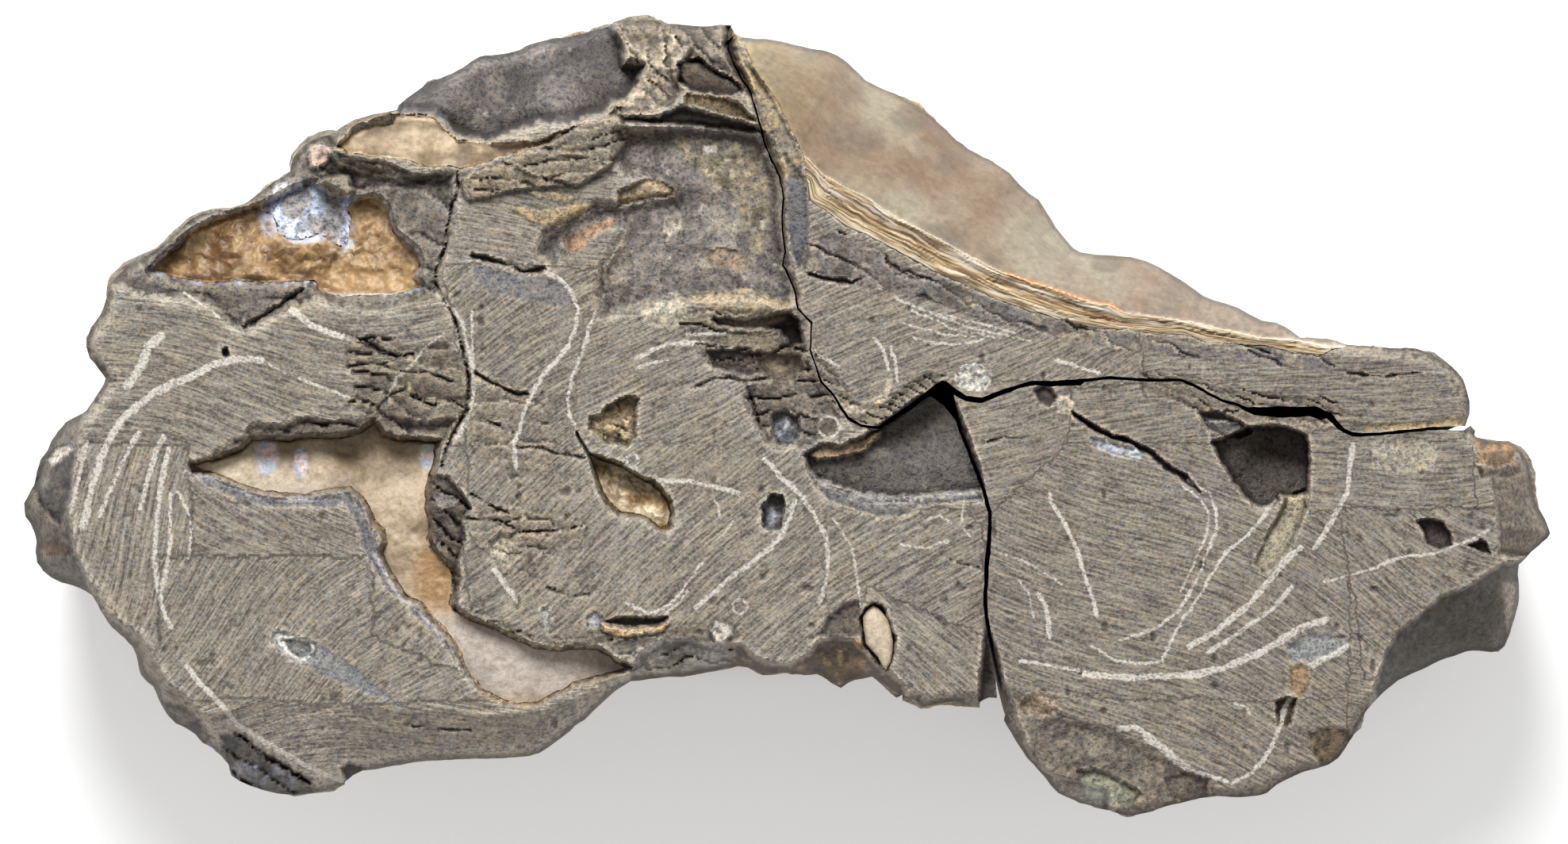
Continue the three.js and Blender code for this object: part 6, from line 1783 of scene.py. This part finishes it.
def dressCrust(points):
    large, tone = crystalField(points, 1.15, 7)
    small, fineTone = crystalField(points, 0.45, 9)
    px = toPx(points)
    smoothPart = spot(px, *crustLook["smoothAt"])
    colour = drift(points, crustLook["brown"], crustLook["sand"], 1.0, 131, 1.9)
    stain(colour, smoothStep(px[:, 0], *crustLook["goldX"]), crustLook["gold"], 0.4)
    stain(colour, smoothStep(flatNoise(points, 0.8, 134, 3), 0.2, 0.5), crustLook["honey"], 0.4)
    stain(colour, smoothStep(flatNoise(points, 0.9, 135, 3), 0.28, 0.5), crustLook["rust"], 0.35)
    colour *= 1.0 + 0.14 * tone[:, None] + 0.1 * fineTone[:, None]
    stain(colour, smoothPart, crustLook["smooth"], 0.7)
    nacre = spots(px, crustLook["nacreAt"]) * smoothStep(flatNoise(points, 0.7, 133, 2), -0.35, 0.2)
    stain(colour, nacre, crustLook["nacre"], 0.75)
    pale = smoothStep(px[:, 1], *crustLook["paleY"]) * smoothStep(px[:, 0], *crustLook["paleX"])
    stain(colour, pale, crustLook["pale"], 0.7)
    relief = (0.62 * large + 0.42 * small + 0.3 * flatNoise(points, 1.8, 132)) * (1 - 0.8 * smoothPart) + 0.1
    return {"relief": relief, "colour": colour, "rough": 0.42, "pearl": 0.35 * nacre}


liningLook = {
    "tan": (130, 112, 88), "light": (174, 156, 130), "left": (186, 171, 147), "leftX": (-345.0, -300.0),
    "foot": (176, 168, 156), "footY": (590.0, 620.0), "footX": (-470.0, -430.0),
    # under darkens the lining's upper right part as painted shadow of the overhang above it.
    "under": (112, 92, 66), "underY": (-590.0, -556.0), "underX": (390.0, 430.0),
    "brown": (146, 108, 62), "brownAt": ((552, 725), (34, 52)),
    "cream": (170, 158, 147), "creamDark": (154, 143, 132), "creamY": (762.0, 800.0),
    "edge": (150, 126, 92), "edgeY": (868.0, 886.0),
    "pearlAt": (((336, 576), (16, 26)), ((379, 584), (10, 20)), ((541, 576), (14, 18))),
}


def dressLining(points):
    px = toPx(points)
    colour = drift(points, liningLook["tan"], liningLook["light"], 1.8, 141, 1.5)
    stain(colour, smoothStep(-px[:, 0], *liningLook["leftX"]), liningLook["left"], 0.7)
    foot = smoothStep(px[:, 1], *liningLook["footY"]) * smoothStep(-px[:, 0], *liningLook["footX"])
    stain(colour, foot, liningLook["foot"], 0.5)
    # Painted shadow of the overhang along the lining's upper right part.
    under = smoothStep(-px[:, 1], *liningLook["underY"]) * smoothStep(px[:, 0], *liningLook["underX"])
    stain(colour, under, liningLook["under"], 0.6)
    stain(colour, spot(px, *liningLook["brownAt"]), liningLook["brown"], 0.8)
    cream = smoothStep(px[:, 1], *liningLook["creamY"])
    creamColour = drift(points, liningLook["cream"], liningLook["creamDark"], 1.2, 143)
    colour += cream[:, None] * (creamColour - colour)
    stain(colour, smoothStep(px[:, 1], *liningLook["edgeY"]), liningLook["edge"], 0.6)
    pearl = spots(px, liningLook["pearlAt"])
    grainy = 0.13 * flatNoise(points, 0.4, 142, 3) + 0.12 * flatNoise(points, 1.6, 144)
    relief = grainy * (1 - 0.5 * cream)
    return {"relief": relief, "colour": colour, "rough": 0.5 - 0.2 * pearl, "pearl": 0.8 * pearl}


pitLook = {"brown": (140, 113, 74), "cream": (200, 183, 154)}


def dressPitCrust(points):
    large, tone = crystalField(points, 0.6, 17)
    colour = drift(points, pitLook["brown"], pitLook["cream"], 0.9, 151, 1.6) * (1.0 + 0.3 * tone[:, None])
    return {"relief": 0.9 * large + 0.1, "colour": colour, "rough": 0.4}


sheetSpacingMm = 0.16
sheetWork = (
    ("flankShell", "flank_shell", "tan_shell", 1.0, dressFlank, flankFinish, 38.0),
    ("shellFlake", "shell_flake", "tan_shell", 0.8, dressFlake, tanShell, 38.0),
    ("calciteCrust", "calcite_crust", "orange_calcite", 0.6, dressCrust, orangeCalcite, 20.0),
    ("nacreLining", "nacre_lining", "pearly_lining", 0.8, dressLining, pearlyShell, 38.0),
    ("pitCrust", "pit_crust", "orange_calcite", 0.5, dressPitCrust, orangeCalcite, 20.0),
)
for name, node, slot, fineness, dress, material, angle in sheetWork:
    piece = makeSheet(name, sheetOutlines[name], sheetSpacingMm * fineness, dress, material, angle)
    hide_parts(node)
print("sheets made")

bottomFlake = {
    "outline": [(1088, 778), (1092, 770), (1101, 763), (1108, 767), (1114, 774), (1120, 782), (1123, 792),
        (1126, 808), (1125, 824), (1123, 835), (1117, 844), (1112, 838), (1107, 828), (1099, 820),
        (1092, 812), (1089, 795)],
    "topMm": 26.9, "thickMm": 0.9, "colour": (184, 168, 146), "spacingMm": 0.12, "roundingMm": 0.5,
}


def makeBottomFlake():
    ring = resampled(plan(bottomFlake["outline"]), bottomFlake["spacingMm"], True)
    every, faces = triangulated(ring, meshPoints(ring, bottomFlake["spacingMm"]))
    inside = np.maximum(depthInside(every, ring), 0.0)
    shoulder = bottomFlake["topMm"] - bottomFlake["roundingMm"]
    height = shoulder + 0.45 * np.sqrt(np.minimum(inside / 1.0, 1.0))
    height += 0.04 * flatNoise(every, 0.5, 151, 2)
    upper = np.column_stack([asSeen(every, height), height])
    lower = upper.copy()
    lower[:, 2] = shoulder - bottomFlake["thickMm"]
    total = len(every)
    colour = np.tile(paint(*bottomFlake["colour"]), (2 * total, 1))
    finish = np.tile([0.0, 0.5, 0.0], (2 * total, 1))
    flat = np.zeros((2 * total, 3))
    attributes = {"tint": colour, "finish": finish, "layers": flat}
    allFaces = sheetFaces(ring, faces, total)
    return makeMesh("bottomFlake", np.vstack([upper, lower]), allFaces, attributes, pearlyShell)


creamFlake = makeBottomFlake()
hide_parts("bottom_flake")

# Floor, light and camera.
studio = {
    "floorM": 6.0, "floorColour": (0.9, 0.9, 0.9), "floorGlow": 0.32,
    "darkHalfM": (0.045, 0.02, 1.0), "darkTo": 0.55, "glowFrom": 0.9,
    "skyColour": (1.0, 1.0, 1.0), "skyStrength": 0.5,
    "keyAtM": (-0.05, 0.36, 0.42), "keySizeM": 0.26, "keyWatts": 4.2,
    "sensorMm": 36.0, "nearM": 0.05, "farM": 20.0,
}
print("bottom flake made")

floorMesh = bpy.data.meshes.new("floor")
half = studio["floorM"] / 2
floorCorners = [(-half, -half, 0), (half, -half, 0), (half, half, 0), (-half, half, 0)]
floorMesh.from_pydata(floorCorners, [], [(0, 1, 2, 3)])
floor = bpy.data.objects.new("floor", floorMesh)
bpy.context.scene.collection.objects.link(floor)
floorLook = bpy.data.materials.new("paleFloor")
floorLook.use_nodes = True
floorTree = floorLook.node_tree
floorShader = floorTree.nodes["Principled BSDF"]
floorShader.inputs["Base Color"].default_value = (*studio["floorColour"], 1.0)
floorShader.inputs["Roughness"].default_value = 0.9
floorShader.inputs["Emission Color"].default_value = (1.0, 1.0, 1.0, 1.0)
# The floor glows as painted light that lifts the stone's shadow around it, fading to none under the stone so
# that it does not light its cracks from below.
floorPlace = floorTree.nodes.new("ShaderNodeTexCoord")
shrunk = floorTree.nodes.new("ShaderNodeVectorMath")
shrunk.operation = "DIVIDE"
shrunk.inputs[1].default_value = studio["darkHalfM"]
reach = floorTree.nodes.new("ShaderNodeVectorMath")
reach.operation = "LENGTH"
glow = floorTree.nodes.new("ShaderNodeMapRange")
for socket, value in zip(glow.inputs[1:5], (studio["darkTo"], studio["glowFrom"], 0.0, studio["floorGlow"])):
    socket.default_value = value
floorTree.links.new(floorPlace.outputs["Object"], shrunk.inputs[0])
floorTree.links.new(shrunk.outputs[0], reach.inputs[0])
floorTree.links.new(reach.outputs["Value"], glow.inputs[0])
floorTree.links.new(glow.outputs["Result"], floorShader.inputs["Emission Strength"])
floorMesh.materials.append(floorLook)

world = bpy.data.worlds.new("studio")
world.use_nodes = True
world.node_tree.nodes["Background"].inputs["Color"].default_value = (*studio["skyColour"], 1.0)
world.node_tree.nodes["Background"].inputs["Strength"].default_value = studio["skyStrength"]
bpy.context.scene.world = world
bpy.context.scene.view_settings.view_transform = "Standard"

key = bpy.data.lights.new("key", "AREA")
key.shape = "DISK"
key.size = studio["keySizeM"]
key.energy = studio["keyWatts"]
keyObject = bpy.data.objects.new("key", key)
keyObject.location = studio["keyAtM"]
keyObject.rotation_euler = (math.atan2(-studio["keyAtM"][1], studio["keyAtM"][2]), 0.0, 0.0)
bpy.context.scene.collection.objects.link(keyObject)

camera = bpy.data.cameras.new("camera")
camera.type = "PERSP"
camera.sensor_width = studio["sensorMm"]
widthMm = photoSizePx[0] * mmPerPx
camera.lens = studio["sensorMm"] * stone["viewDistanceMm"] / widthMm
camera.clip_start = studio["nearM"]
camera.clip_end = studio["farM"]
cameraObject = bpy.data.objects.new("camera", camera)
cameraObject.location = (sight[0] / 1000.0, sight[1] / 1000.0,
                         (stone["faceHeightMm"] + stone["viewDistanceMm"]) / 1000.0)
bpy.context.scene.collection.objects.link(cameraObject)
bpy.context.scene.camera = cameraObject

print("scene made")
